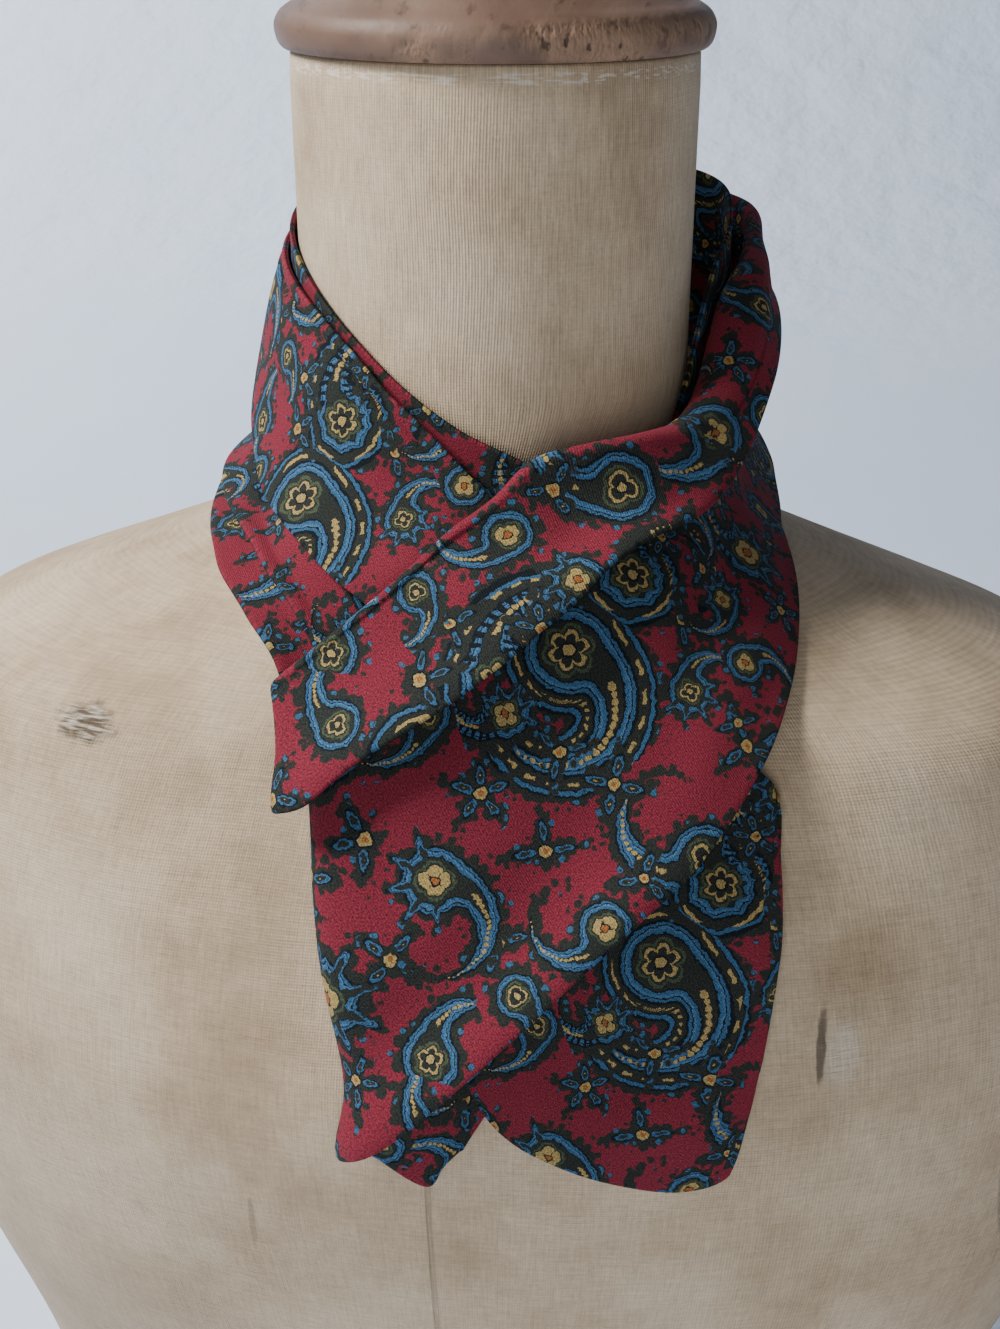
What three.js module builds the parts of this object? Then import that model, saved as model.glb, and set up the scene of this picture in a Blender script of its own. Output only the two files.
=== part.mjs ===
// A pleated cravat worn round the neck of a limbless dress form.
// One long doubled strip of printed cloth is pleated into shingled folds behind the neck. Its
// two blades cross in front: the right one lies over the left one, turns under it at the left,
// and keeps one pleat lying across its own top as a band. Its weight rests on the form's neck,
// shoulders and chest.
//
// Millimetres, +Z up, the front faces -Y, and the origin is under the middle of the base board.
// Places round the neck are given as turn (degrees from the front, positive to the right as
// seen from the front), up (height) and out (distance from the neck's upright axis).
import * as THREE from 'three';

// Driving dimensions
const CLOTH_WALL = 1.4; // doubled twill with its air, as one wall
const SEAM_GAP = 0.3;
const NECK_AXIS_Y = 14;
const BOARD_HEIGHT = 20;
const BOARD_OVERHANG = 7;
const NECK_TOP = 520;
const CAP_RADIUS = 64;
const CAP_HEIGHT = 36;
const SHOULDER_BLEND = 24; // how softly the neck runs into the shoulders
const DRAPE_BLEND = 60; // how widely the cloth bridges the same hollow
const ROLL_STEPS = 4;
const INNER_LEAF = 2; // how far a rolled fold runs down again inside, beyond its own radius

// The form's torso, from its waist up into the root of the neck. squareness is the exponent of
// the superellipse that each level section follows.
const TORSO = table(
  ['up', 'halfWidth', 'front', 'back', 'squareness'],
  [20, 148, 96, 92, 2.2],
  [75, 164, 90, 86, 2.1],
  [150, 194, 112, 98, 2.0],
  [225, 206, 127, 108, 2.0],
  [280, 202, 119, 112, 2.13],
  [318, 190, 104, 108, 2.4],
  [335, 184, 96, 103, 2.5],
  [345, 172, 90, 97, 2.4],
  [355, 150, 83, 90, 2.2],
  [366, 120, 76, 82, 2.1],
  [377, 90, 68, 74, 2.0],
  [388, 60, 56, 62, 2.0],
  [399, 28, 28, 30, 2.0],
  [410, 4, 4, 4, 2.0],
);
const NECK = table(
  ['up', 'out'],
  [300, 60],
  [388, 60],
  [420, 58.5],
  [470, 59],
  [520, 60],
);
// Half of the turned cap's profile, from its underside to its crown.
const CAP_PROFILE = table(
  ['out', 'up'],
  [61, 0],
  [63.2, 2.5],
  [64, 7],
  [62.5, 11],
  [56, 16.5],
  [46, 23],
  [32, 29],
  [16, 33.5],
);

// Each stretch of cloth is a row of sections from its crest, the upper edge, to its hem, the
// lower edge. bow swells the face between them, and roll is the radius of a crest that is
// rolled over instead of pressed flat.
const SECTION = [
  'crestTurn', 'crestUp', 'crestOut', 'hemTurn', 'hemUp', 'hemOut', 'bow', 'roll',
];
// The innermost fold, whose crest is the neckline all round.
const NECK_FOLD = table(
  SECTION,
  [26, 407, 68.5, 20, 388, 74.5, 0, 0],
  [12, 414.5, 64.3, 5, 392, 71, 0, 0],
  [0, 420.5, 62.5, -6, 398, 67, 0, 0],
  [-15, 430.5, 61.2, -20, 408, 62.5, 0, 0],
  [-36, 446, 60.4, -40, 424, 60.4, 0, 0],
  [-60, 460.5, 60.4, -64, 438, 60.4, 0, 0],
  [-85, 470.5, 60.8, -88, 446, 60.8, 0, 0],
  [-115, 477, 61.2, -116, 450, 61.2, 0, 0],
  [-150, 481, 62.5, -150, 452, 62.5, 0, 0],
  [-180, 482, 65.5, -180, 452, 65.5, 0, 0],
  [-210, 480.5, 74, -210, 451, 74, 0, 0],
  [-230, 476, 81.5, -230, 448, 81.5, 0, 0],
  [-245, 467, 75.5, -245, 440, 75.5, 0, 0],
  [-260, 455, 66, -260, 428, 66, 0, 0],
  [-275, 440, 62, -275, 412, 62.5, 0, 0],
  [-295, 416, 62, -295, 394, 66, 0, 0],
);
// The left blade: from the seam behind the neck, down across the chest, to its slanting end.
const LEFT_BLADE = table(
  SECTION,
  [-179.8, 474, 70, -179.8, 446, 77, 0.5, 0],
  [-150, 473, 65.4, -150, 441, 74.5, 0.5, 0],
  [-115, 470, 63.6, -118, 432, 73, 1, 0],
  [-90, 464.5, 63.1, -92, 423, 72.8, 1.5, 0],
  [-69, 459, 62.9, -75, 414, 72.6, 2, 0],
  [-48, 451, 63, -60, 404.5, 74.2, 2.5, 0],
  [-31, 441, 64, -46, 397.5, 79, 3.5, 0],
  [-19, 430.5, 65, -31, 391, 86, 4, 0],
  [-6, 419, 66.5, -20, 383.5, 91, 3, 0],
  [8.4, 403, 71, -12, 377, 94, 2, 0],
  [18, 391, 76, -8, 362, 96, 2, 0],
  [27, 375, 84, -4, 338, 104, 2, 0],
  [34, 360, 98, -1, 308, 116, 2, 0],
  [39, 347, 114, 3, 275, 127, 2, 0],
  [42, 339, 123, 8, 245, 133, 2, 0],
  [43.6, 335, 128, 18, 229, 137, 3, 0],
  [44.8, 331.5, 131.5, 35, 217, 144, 3, 0],
);
// The second fold on the left shoulder, under the left blade.
const LEFT_SECOND_FOLD = table(
  SECTION,
  [-179.8, 458, 70.5, -179.8, 418, 84, -1, 0],
  [-150, 456, 68, -150, 412, 82, -2.5, 0],
  [-120, 449, 65.8, -120, 404, 81, -3, 0],
  [-98, 440.5, 65, -100, 398, 82, -3.5, 0],
  [-80, 431, 64.8, -82, 394.5, 83.5, -3.2, 0],
  [-63, 419, 65.3, -68, 391, 83.5, -3, 0],
  [-50, 409, 67.8, -56, 389.5, 84.5, -2, 0],
  [-39, 401, 72.8, -45, 387, 87.5, -1, 0],
  [-30, 393, 78, -36.5, 382.5, 91.5, 0, 0],
  [-22, 386, 81.5, -29, 376.5, 94.5, 1, 0],
  [-14, 379, 84.5, -24, 370, 97, 1, 0],
  [-8, 371, 85.5, -20.5, 364, 99, 1, 0],
  [-4, 362, 87, -18.5, 356, 101, 1, 0],
);
// The lowest fold on the left shoulder.
const LEFT_THIRD_FOLD = table(
  SECTION,
  [-179.8, 428, 73, -179.8, 404, 88.5, -1, 0],
  [-150, 424, 72, -150, 402, 87.5, -1, 0],
  [-120, 414, 70, -120, 396, 86, -1.5, 0],
  [-98, 408, 68.5, -98, 391.5, 85.5, -1.5, 0],
  [-80, 401, 70, -80, 386.5, 86, -1, 0],
  [-62, 394.5, 71.8, -60, 381, 90, -2, 0],
  [-50, 389, 75, -50, 376.5, 93.5, -2, 0],
  [-40, 384, 79.5, -42, 372, 95.5, -1, 0],
  [-33, 377.5, 82.5, -36.4, 367.6, 97.5, 0, 0],
  [-27, 370, 85.5, -31.5, 362.8, 99, 0, 0],
  [-22, 362, 88.5, -28.7, 358, 100, 0, 0],
  [-18, 354, 91, -26, 351, 102, 0, 0],
);
// The right blade: from the seam behind the neck, down across the left blade, round its own
// turned edge at the left, and back under the left blade to its end.
const RIGHT_BLADE = table(
  SECTION,
  [179.8, 458, 70.5, 179.8, 404, 88.5, 0.5, 0],
  [150, 456, 78.5, 150, 402, 92, 2, 0],
  [130, 455, 85.5, 130, 398, 95, 3, 0],
  [115, 451, 81, 116, 391, 92, 3.5, 0],
  [104, 448, 79, 106, 386, 89, 6.5, 0],
  [92, 443, 77.5, 96, 382.5, 88, 6.5, 0],
  [80, 434, 76.5, 87, 381, 88.5, 6, 0],
  [70, 424.5, 76, 79, 379, 92.5, 4.5, 0],
  [60, 417, 77.5, 71, 374.5, 99, 4, 0],
  [50, 411, 80, 62, 367, 108, 4, 0],
  [40, 405, 82, 52, 354, 119.5, 4, 0],
  [28, 396, 85.5, 42, 339, 130.5, 4, 0],
  [18, 386, 91, 33, 318, 133, 3, 0],
  [8, 376, 96.5, 24, 301, 133, 3, 0],
  [-1, 365, 102, 13.7, 281, 134.5, 3, 0],
  [-9, 355, 107, 4, 259, 137, 3, 0],
  [-17, 345, 112, -4.3, 240, 140, 2, 0],
  [-19.5, 341, 106, -7.2, 232, 135.5, 0, 0],
  [-16.5, 338, 101, -6, 226, 131, 0, 0],
  [0, 330, 101, 0.3, 219.6, 130.3, 0, 0],
  [14, 322, 107.5, 2.5, 226, 130.5, 0, 0],
  [28, 318, 118.5, 4.8, 232, 131, 0, 0],
);
// The right blade's uppermost pleat, which rolls round the right side of the neck and then
// lies across the front as a flat band, down to its turned end at the left.
const CROSSING_BAND = table(
  SECTION,
  [179.8, 474.5, 73, 179.8, 446, 77, 0.5, 1.6],
  [150, 472, 82.5, 150, 449, 86.5, 0.5, 1.8],
  [130, 467, 93.5, 130, 453, 96, 0, 2],
  [115, 460, 86, 115, 450, 88, 0, 2.6],
  [104, 454.5, 83.5, 104, 445, 86, 0, 4.5],
  [92, 447, 82.5, 92, 439, 85.5, 0, 7.2],
  [80, 437, 82.5, 80, 430, 86, 0, 8],
  [70, 427, 82.5, 70.5, 420, 86, 0, 7.5],
  [60, 420, 82, 62, 411, 87, 0, 6],
  [50, 418, 81.5, 55, 405, 87.5, 1, 4],
  [40, 419, 81.5, 46, 399, 89.5, 1, 2.5],
  [28, 418.5, 81, 36, 395, 92, 1, 1.8],
  [17, 415, 80.5, 27, 389, 96, 1, 1.6],
  [9, 405, 83.5, 19.5, 382, 100.5, 1, 1.6],
  [1, 397, 89, 12, 373, 105, 1, 1.6],
  [-5, 388, 95.5, 5, 362.5, 110, 1, 1.6],
  [-12, 377, 102, -2, 352.5, 115, 1, 1.6],
  [-18, 367, 107.5, -9.5, 342, 120, 1, 1.6],
  [-23.5, 357, 112.5, -18, 329.5, 126.5, 0, 1.6],
  [-25.2, 355, 108, -19.8, 327.5, 122, 0, 1.6],
);

// A table with named columns: one array of numbers for each column name.
function table(names, ...rows) {
  return Object.fromEntries(names.map((name, i) => [name, rows.map((row) => row[i])]));
}

// The value of ys at x = at, on a smooth curve through the points (xs, ys); xs rises.
function smooth(xs, ys, at) {
  const last = xs.length - 1;
  const x = Math.min(Math.max(at, xs[0]), xs[last]);
  let i = 0;
  while (i < last - 1 && x >= xs[i + 1]) i += 1;
  const slope = (k) => {
    const lo = Math.max(k - 1, 0);
    const hi = Math.min(k + 1, last);
    return (ys[hi] - ys[lo]) / (xs[hi] - xs[lo]);
  };
  const h = xs[i + 1] - xs[i];
  const t = (x - xs[i]) / h;
  const t2 = t * t;
  const t3 = t2 * t;
  return (2 * t3 - 3 * t2 + 1) * ys[i] + (t3 - 2 * t2 + t) * h * slope(i)
    + (3 * t2 - 2 * t3) * ys[i + 1] + (t3 - t2) * h * slope(i + 1);
}

// The larger of two lengths, with the corner between them rounded over a length of blend.
function smoothLarger(a, b, blend) {
  const near = Math.max(blend - Math.abs(a - b), 0) / blend;
  return Math.max(a, b) + (near * near * blend) / 4;
}

// How far the form's surface is from the neck's axis, at a turn in degrees and a height.
function formRadius(turn, up, blend) {
  const sine = Math.abs(Math.sin(THREE.MathUtils.degToRad(turn)));
  const cosine = Math.cos(THREE.MathUtils.degToRad(turn));
  const at = (name) => smooth(TORSO.up, TORSO[name], up);
  const depth = cosine >= 0 ? at('front') : at('back');
  const power = at('squareness');
  const sum = (sine / at('halfWidth')) ** power + (Math.abs(cosine) / depth) ** power;
  const torso = up > TORSO.up.at(-1) ? 0 : sum ** (-1 / power);
  return smoothLarger(torso, smooth(NECK.up, NECK.out, up), blend);
}

// The point at a turn, a distance out from the neck's axis and a height.
function place(turn, out, up) {
  const angle = THREE.MathUtils.degToRad(turn);
  return new THREE.Vector3(out * Math.sin(angle), NECK_AXIS_Y - out * Math.cos(angle), up);
}

// A grid of quads as triangle indices; rows of points follow one another, columns wide.
function gridFaces(rows, columns, offset, flip) {
  const faces = [];
  for (let r = 0; r < rows - 1; r += 1) {
    for (let c = 0; c < columns - 1; c += 1) {
      const a = offset + r * columns + c;
      const b = a + 1;
      const d = a + columns;
      const e = d + 1;
      faces.push(...(flip ? [a, b, e, a, e, d] : [a, e, b, a, d, e]));
    }
  }
  return faces;
}

// A closed wall of even thickness round a sheet of points: its outer side, its inner side and
// the narrow edges that join them. The outer side is the one that faces away from the neck.
function wall(sheet, thickness) {
  const rows = sheet.length;
  const columns = sheet[0].length;
  const clamped = (r, c) => sheet[Math.min(Math.max(r, 0), rows - 1)][
    Math.min(Math.max(c, 0), columns - 1)];
  const points = [];
  [thickness / 2, -thickness / 2].forEach((offset) => {
    for (let r = 0; r < rows; r += 1) {
      for (let c = 0; c < columns; c += 1) {
        const along = clamped(r + 1, c).clone().sub(clamped(r - 1, c));
        const across = clamped(r, c + 1).clone().sub(clamped(r, c - 1));
        const normal = along.cross(across).normalize();
        points.push(sheet[r][c].clone().addScaledVector(normal, offset));
      }
    }
  });
  const back = rows * columns;
  const faces = [
    ...gridFaces(rows, columns, 0, true),
    ...gridFaces(rows, columns, back, false),
  ];
  const rim = [];
  for (let c = 0; c < columns; c += 1) rim.push(c);
  for (let r = 1; r < rows; r += 1) rim.push(r * columns + columns - 1);
  for (let c = columns - 2; c >= 0; c -= 1) rim.push((rows - 1) * columns + c);
  for (let r = rows - 2; r > 0; r -= 1) rim.push(r * columns);
  rim.forEach((a, i) => {
    const b = rim[(i + 1) % rim.length];
    faces.push(a, back + b, b, a, back + a, back + b);
  });
  return solid(points, faces);
}

// A geometry from points and triangle indices, turned right side out.
function solid(points, faces) {
  let volume = 0;
  for (let i = 0; i < faces.length; i += 3) {
    const [a, b, c] = [points[faces[i]], points[faces[i + 1]], points[faces[i + 2]]];
    volume += a.dot(b.clone().cross(c));
  }
  const outward = volume > 0 ? faces : faces.slice().reverse();
  return new THREE.BufferGeometry().setFromPoints(points).setIndex(outward);
}

// The sheet of one stretch of cloth. Along it, the sections are joined by smooth curves. Across
// it, the face keeps a share of the crest's and the hem's distance from the draped body, so
// that it follows the chest, and swells by bow. A rolled crest adds a half circle that turns
// inwards over the face's top, and an inner leaf below it.
function stretch(sections, stepsPerRow, stepsAcross) {
  const rows = sections.bow.length;
  const index = sections.bow.map((_, i) => i);
  const rolled = sections.roll.some((radius) => radius > 0);
  const sheet = [];
  for (let i = 0; i <= (rows - 1) * stepsPerRow; i += 1) {
    const at = Object.fromEntries(
      SECTION.map((name) => [name, smooth(index, sections[name], i / stepsPerRow)]),
    );
    const crestLift = at.crestOut - formRadius(at.crestTurn, at.crestUp, DRAPE_BLEND);
    const hemLift = at.hemOut - formRadius(at.hemTurn, at.hemUp, DRAPE_BLEND);
    const face = (t) => {
      const turn = THREE.MathUtils.lerp(at.crestTurn, at.hemTurn, t);
      const up = THREE.MathUtils.lerp(at.crestUp, at.hemUp, t);
      const lift = THREE.MathUtils.lerp(crestLift, hemLift, t) + at.bow * 4 * t * (1 - t);
      return place(turn, formRadius(turn, up, DRAPE_BLEND) + lift, up);
    };
    const line = [];
    if (rolled) line.push(...rolledCrest(face(0), at.crestTurn, at.roll));
    for (let j = 0; j <= stepsAcross; j += 1) line.push(face(j / stepsAcross));
    sheet.push(line);
  }
  return sheet;
}

// The points of a rolled crest, from the end of its inner leaf up and over to the face's top.
function rolledCrest(top, turn, radius) {
  const outward = place(turn, 1, 0).sub(place(turn, 0, 0));
  const centre = top.clone().addScaledVector(outward, -radius);
  const upward = new THREE.Vector3(0, 0, 1);
  const points = [centre.clone().addScaledVector(outward, -radius)
    .addScaledVector(upward, -INNER_LEAF - radius)];
  for (let i = ROLL_STEPS; i > 0; i -= 1) {
    const angle = (Math.PI * i) / ROLL_STEPS;
    points.push(centre.clone().addScaledVector(outward, radius * Math.cos(angle))
      .addScaledVector(upward, radius * Math.sin(angle)));
  }
  return points;
}

// A body with level rings, closed by a flat face at each end.
function ringedBody(heights, turns, radiusAt) {
  const points = [];
  heights.forEach((up) => {
    for (let i = 0; i < turns; i += 1) {
      const turn = (360 * i) / turns;
      points.push(place(turn, radiusAt(turn, up), up));
    }
  });
  const faces = [];
  for (let r = 0; r < heights.length - 1; r += 1) {
    for (let i = 0; i < turns; i += 1) {
      const [a, b] = [r * turns + i, r * turns + ((i + 1) % turns)];
      faces.push(a, b, b + turns, a, b + turns, a + turns);
    }
  }
  [0, heights.length - 1].forEach((r) => {
    const centre = points.push(place(0, 0, heights[r])) - 1;
    for (let i = 0; i < turns; i += 1) {
      const [a, b] = [r * turns + i, r * turns + ((i + 1) % turns)];
      faces.push(...(r === 0 ? [centre, b, a] : [centre, a, b]));
    }
  });
  return solid(points, faces);
}

// Heights of the torso's rings: wide steps up the body, and narrow ones over the shoulders.
function torsoHeights() {
  const heights = [BOARD_HEIGHT + SEAM_GAP];
  for (let up = 45; up < 300; up += 25) heights.push(up);
  for (let up = 300; up < 340; up += 10) heights.push(up);
  for (let up = 340; up < 404; up += 4) heights.push(up);
  for (let up = 408; up < NECK_TOP; up += 28) heights.push(up);
  heights.push(NECK_TOP);
  return heights;
}

function cloth(name, sections, stepsPerRow, stepsAcross) {
  const material = new THREE.MeshStandardMaterial({ color: 0x7a2434, roughness: 0.7 });
  material.side = THREE.DoubleSide;
  const mesh = new THREE.Mesh(
    wall(stretch(sections, stepsPerRow, stepsAcross), CLOTH_WALL),
    material,
  );
  mesh.name = name;
  return mesh;
}

function torso() {
  const mesh = new THREE.Mesh(
    ringedBody(torsoHeights(), 44, (turn, up) => formRadius(turn, up, SHOULDER_BLEND)),
    new THREE.MeshStandardMaterial({ color: 0xa8987f, roughness: 0.9 }),
  );
  mesh.name = 'form_torso';
  return mesh;
}

const WOOD = new THREE.MeshStandardMaterial({ color: 0x6b4030, roughness: 0.5 });

function neckCap() {
  const profile = CAP_PROFILE.out.map((out, i) => new THREE.Vector2(out, CAP_PROFILE.up[i]));
  const closed = [new THREE.Vector2(0, 0), ...profile, new THREE.Vector2(0, CAP_HEIGHT)];
  const mesh = new THREE.Mesh(new THREE.LatheGeometry(closed, 44), WOOD);
  mesh.name = 'form_neck_cap';
  mesh.rotation.x = Math.PI / 2;
  mesh.position.set(0, NECK_AXIS_Y, NECK_TOP + SEAM_GAP);
  return mesh;
}

function baseBoard() {
  const heights = [0, 4, BOARD_HEIGHT - 4, BOARD_HEIGHT];
  const edge = (up) => (up === heights[1] || up === heights[2] ? BOARD_OVERHANG : BOARD_OVERHANG - 3);
  const mesh = new THREE.Mesh(
    ringedBody(heights, 44, (turn, up) => formRadius(turn, BOARD_HEIGHT, SHOULDER_BLEND) + edge(up)),
    WOOD,
  );
  mesh.name = 'form_base_board';
  return mesh;
}

const cravat = new THREE.Group();
cravat.add(
  baseBoard(),
  torso(),
  neckCap(),
  cloth('neck_fold', NECK_FOLD, 2, 3),
  cloth('left_blade', LEFT_BLADE, 2, 7),
  cloth('left_second_fold', LEFT_SECOND_FOLD, 2, 4),
  cloth('left_third_fold', LEFT_THIRD_FOLD, 2, 3),
  cloth('right_blade', RIGHT_BLADE, 2, 8),
  cloth('crossing_band', CROSSING_BAND, 2, 4),
);

export default cravat;
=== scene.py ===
# %% [markdown]
# A patterned cravat, worn on a dress form
#
# The real thing is one long tube of printed twill. Behind the neck it is pleated into a narrow
# band, and its two broad ends, the blades, open out as they come forward, cross, and lie on the
# chest. The form is a padded torso covered with linen, with a turned wooden cap on its neck.
# Everything here is worked out in millimetres round the neck's upright axis and put into the
# meshes in metres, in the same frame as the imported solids.

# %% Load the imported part
from math import pi, radians, tau

import bpy
import numpy as np
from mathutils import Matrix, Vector


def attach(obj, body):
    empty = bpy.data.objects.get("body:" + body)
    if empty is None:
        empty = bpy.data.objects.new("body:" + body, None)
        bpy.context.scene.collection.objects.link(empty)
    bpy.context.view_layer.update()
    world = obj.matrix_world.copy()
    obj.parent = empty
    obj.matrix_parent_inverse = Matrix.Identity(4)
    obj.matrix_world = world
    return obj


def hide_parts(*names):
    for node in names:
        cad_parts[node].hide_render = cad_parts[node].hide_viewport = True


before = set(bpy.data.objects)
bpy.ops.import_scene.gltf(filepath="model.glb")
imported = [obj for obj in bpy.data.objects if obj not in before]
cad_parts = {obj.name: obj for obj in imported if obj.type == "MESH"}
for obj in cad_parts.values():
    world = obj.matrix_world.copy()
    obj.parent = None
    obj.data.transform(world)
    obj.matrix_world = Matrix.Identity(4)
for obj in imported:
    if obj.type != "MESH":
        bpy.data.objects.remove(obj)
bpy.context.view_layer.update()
MM = 0.001                  # metres in a millimetre
print("solids loaded:", len(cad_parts))

# %% [markdown]
# Numbers that rule the shapes
#
# A garment pattern is a few measurements with names, and smooth lines drawn between them. The
# same is done here: a table has named columns, and a smooth curve runs through each column. That
# keeps a fold easy to move, where a list of bare points would have to be retyped.

# %% Tables and smooth curves
def table(names, *rows):
    """Rows of numbers as one array for each named column."""
    return dict(zip(names.split(), np.array(rows, float).T))


def curve_through(knots, values, at):
    """A smooth curve through (knots, values), read at `at`.

    Between two knots it is a cubic. Its slope at a knot is that of the chord from the knot before
    to the knot after, and at the two ends that of the end chord.
    """
    at = np.clip(np.asarray(at, float), knots[0], knots[-1])
    slope = np.empty(len(knots))
    slope[1:-1] = (values[2:] - values[:-2]) / (knots[2:] - knots[:-2])
    slope[0] = (values[1] - values[0]) / (knots[1] - knots[0])
    slope[-1] = (values[-1] - values[-2]) / (knots[-1] - knots[-2])
    i = np.clip(np.searchsorted(knots, at, side="right") - 1, 0, len(knots) - 2)
    step = knots[i + 1] - knots[i]
    t = (at - knots[i]) / step
    return ((2 * t**3 - 3 * t**2 + 1) * values[i] + (t**3 - 2 * t**2 + t) * step * slope[i]
            + (3 * t**2 - 2 * t**3) * values[i + 1] + (t**3 - t**2) * step * slope[i + 1])


def soft_step(x, low, high):
    """0 below low, 1 above high, and 3t^2 - 2t^3 between them, where t is the share of the way."""
    t = np.clip((x - low) / (high - low), 0, 1)
    return t * t * (3 - 2 * t)


print("a soft step, a quarter of the way up:", soft_step(0.25, 0, 1))

# %% [markdown]
# The dress form's shape
#
# A linen form is a padded shell. Each level cut through it is close to an ellipse whose corners
# are a little square, and the neck grows out of the shoulders in one soft hollow. So a cut is a
# superellipse from a table, and the torso and the neck are joined by taking the larger of the two
# with the corner between them rounded off. The cloth bridges the same hollow more widely.

# %% Form measurements
NECK_AXIS_Y = 14.0          # all in mm
BOARD_TOP = 20.0
NECK_TOP = 520.0
FORM_HOLLOW = 24.0          # how widely the corner at the neck's root is rounded off
CLOTH_HOLLOW = 60.0         # and how widely the cloth bridges it
TORSO = table(
    "up half_width front back squareness",
    (20, 148, 96, 92, 2.2), (75, 164, 90, 86, 2.1), (150, 194, 112, 98, 2.0),
    (225, 206, 127, 108, 2.0), (280, 202, 119, 112, 2.13), (318, 190, 104, 108, 2.4),
    (335, 184, 96, 103, 2.5), (345, 172, 90, 97, 2.4), (355, 150, 83, 90, 2.2),
    (366, 120, 76, 82, 2.1), (377, 90, 68, 74, 2.0), (388, 60, 56, 62, 2.0),
    (399, 28, 28, 30, 2.0), (410, 4, 4, 4, 2.0))
NECK = table("up out", (300, 60), (388, 60), (420, 58.5), (470, 59), (520, 60))


def form_out(turn, up, hollow):
    """How far the form reaches from the neck's axis, in mm, at a turn in degrees and a height.

    Torso: (|sin| / half width)^n + (|cos| / depth)^n = 1 / out^n. Then the larger of torso and
    neck, plus near^2 * hollow / 4, where near goes from 0 to 1 as the two come within `hollow`.
    """
    angle = np.radians(turn)
    half_width, front, back, n = (curve_through(TORSO["up"], TORSO[c], up)
                                  for c in ("half_width", "front", "back", "squareness"))
    depth = np.where(np.cos(angle) >= 0, front, back)
    torso = ((np.abs(np.sin(angle)) / half_width) ** n
             + (np.abs(np.cos(angle)) / depth) ** n) ** (-1 / n)
    torso = np.where(np.asarray(up) > TORSO["up"][-1], 0, torso)
    neck = curve_through(NECK["up"], NECK["out"], up)
    near = np.maximum(hollow - np.abs(torso - neck), 0) / hollow
    return np.maximum(torso, neck) + near**2 * hollow / 4


def place(turn, out, up):
    """Points in mm from turn (degrees from the front, to the right), distance out, and height."""
    turn, out, up = np.broadcast_arrays(np.radians(turn), out, up)
    return np.stack([out * np.sin(turn), NECK_AXIS_Y - out * np.cos(turn), up], -1)


print("form at the chest, mm out:", round(float(form_out(0, 250, FORM_HOLLOW)), 1))

# %% [markdown]
# From a grid of points to a mesh
#
# Every surface below is a grid of points worked out at once as an array. It could be built face
# by face, but an array is quicker and its formula stays in sight. One helper numbers the squares
# of a grid, and one puts points and squares into a mesh in metres, shades it smooth, and makes
# sure that it isn't inside out.

# %% Mesh helpers
def squares(rows, columns, closed=False):
    """Corner numbers of each square of a grid. closed joins the last column to the first."""
    row = np.arange(rows - 1)[:, None]
    column = np.arange(columns if closed else columns - 1)[None, :]
    after = (column + 1) % columns
    corners = [row * columns + column, row * columns + after,
               (row + 1) * columns + after, (row + 1) * columns + column]
    return np.stack(corners, -1).reshape(-1, 4).tolist()


def add_object(name, data):
    """A new object in the scene, at the origin."""
    made = bpy.data.objects.new(name, data)
    bpy.context.scene.collection.objects.link(made)
    return made


def put_mesh(name, points, faces):
    """A smooth mesh object at the origin, from points in mm, with its faces turned outwards.

    The sign of the sum of a . (b x c) over the triangles tells which way round they are.
    """
    points = np.asarray(points, float).reshape(-1, 3)
    fans = np.array([(f[0], f[i], f[i + 1]) for f in faces for i in range(1, len(f) - 1)])
    a, b, c = (points[fans[:, k]] for k in range(3))
    if np.einsum("ij,ij->", a, np.cross(b, c)) < 0:
        faces = [f[::-1] for f in faces]
    mesh = bpy.data.meshes.new(name)
    mesh.from_pydata((points * MM).tolist(), [], faces)
    mesh.shade_smooth()
    return add_object(name, mesh)


def turned_body(name, profile_up, out_at, turns=256):
    """A body whose level rings are out_at(turn, up) from the neck's axis.

    A fan of triangles round a point on the axis closes it at the foot and at the top.
    """
    turn = np.linspace(0, 360, turns, endpoint=False)[None, :]
    up = np.asarray(profile_up, float)[:, None]
    rings = place(turn, out_at(turn, up), up)
    ends = place(0, 0, np.array([up[0, 0], up[-1, 0]]))
    count = rings.shape[0] * turns
    last = count - turns
    edge = np.arange(turns)
    after = (edge + 1) % turns
    faces = squares(rings.shape[0], turns, closed=True)
    faces += np.stack([np.full(turns, count), after, edge], -1).tolist()
    faces += np.stack([np.full(turns, count + 1), last + edge, last + after], -1).tolist()
    return put_mesh(name, np.concatenate([rings.reshape(-1, 3), ends]), faces)


print("squares in a grid of 3 x 4 points:", len(squares(3, 4)))

# %% [markdown]
# The camera
#
# The photograph looks down at the form from close by, a little from the right of its front. The
# camera is placed first, so that each piece can be judged from it as soon as it is made. It could
# be turned by eye until the picture fits, but distance, height and tilt can be changed one by one.

# %% Camera
CAMERA_TURN = 9.0       # degrees round from the front
CAMERA_OUT = 640.0      # mm from the neck's axis
CAMERA_UP = 570.0
CAMERA_TILT = 20.7      # degrees down
CAMERA_YAW = 0.12       # degrees away from the neck's axis
FRAME_HEIGHT = 1329     # pixels of the photograph
FOCAL_LENGTH = 2120     # in the same pixels

eye = place(CAMERA_TURN, CAMERA_OUT, CAMERA_UP) * MM
camera = add_object("camera", bpy.data.cameras.new("camera"))
camera.location = eye
camera.rotation_euler = (radians(90 - CAMERA_TILT), 0, radians(CAMERA_TURN - CAMERA_YAW))
camera.data.sensor_fit = "VERTICAL"
camera.data.sensor_height = 36.0
camera.data.lens = FOCAL_LENGTH / FRAME_HEIGHT * camera.data.sensor_height
camera.data.clip_start = 0.01
bpy.context.scene.camera = camera
print("camera at", np.round(eye, 3))

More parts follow.
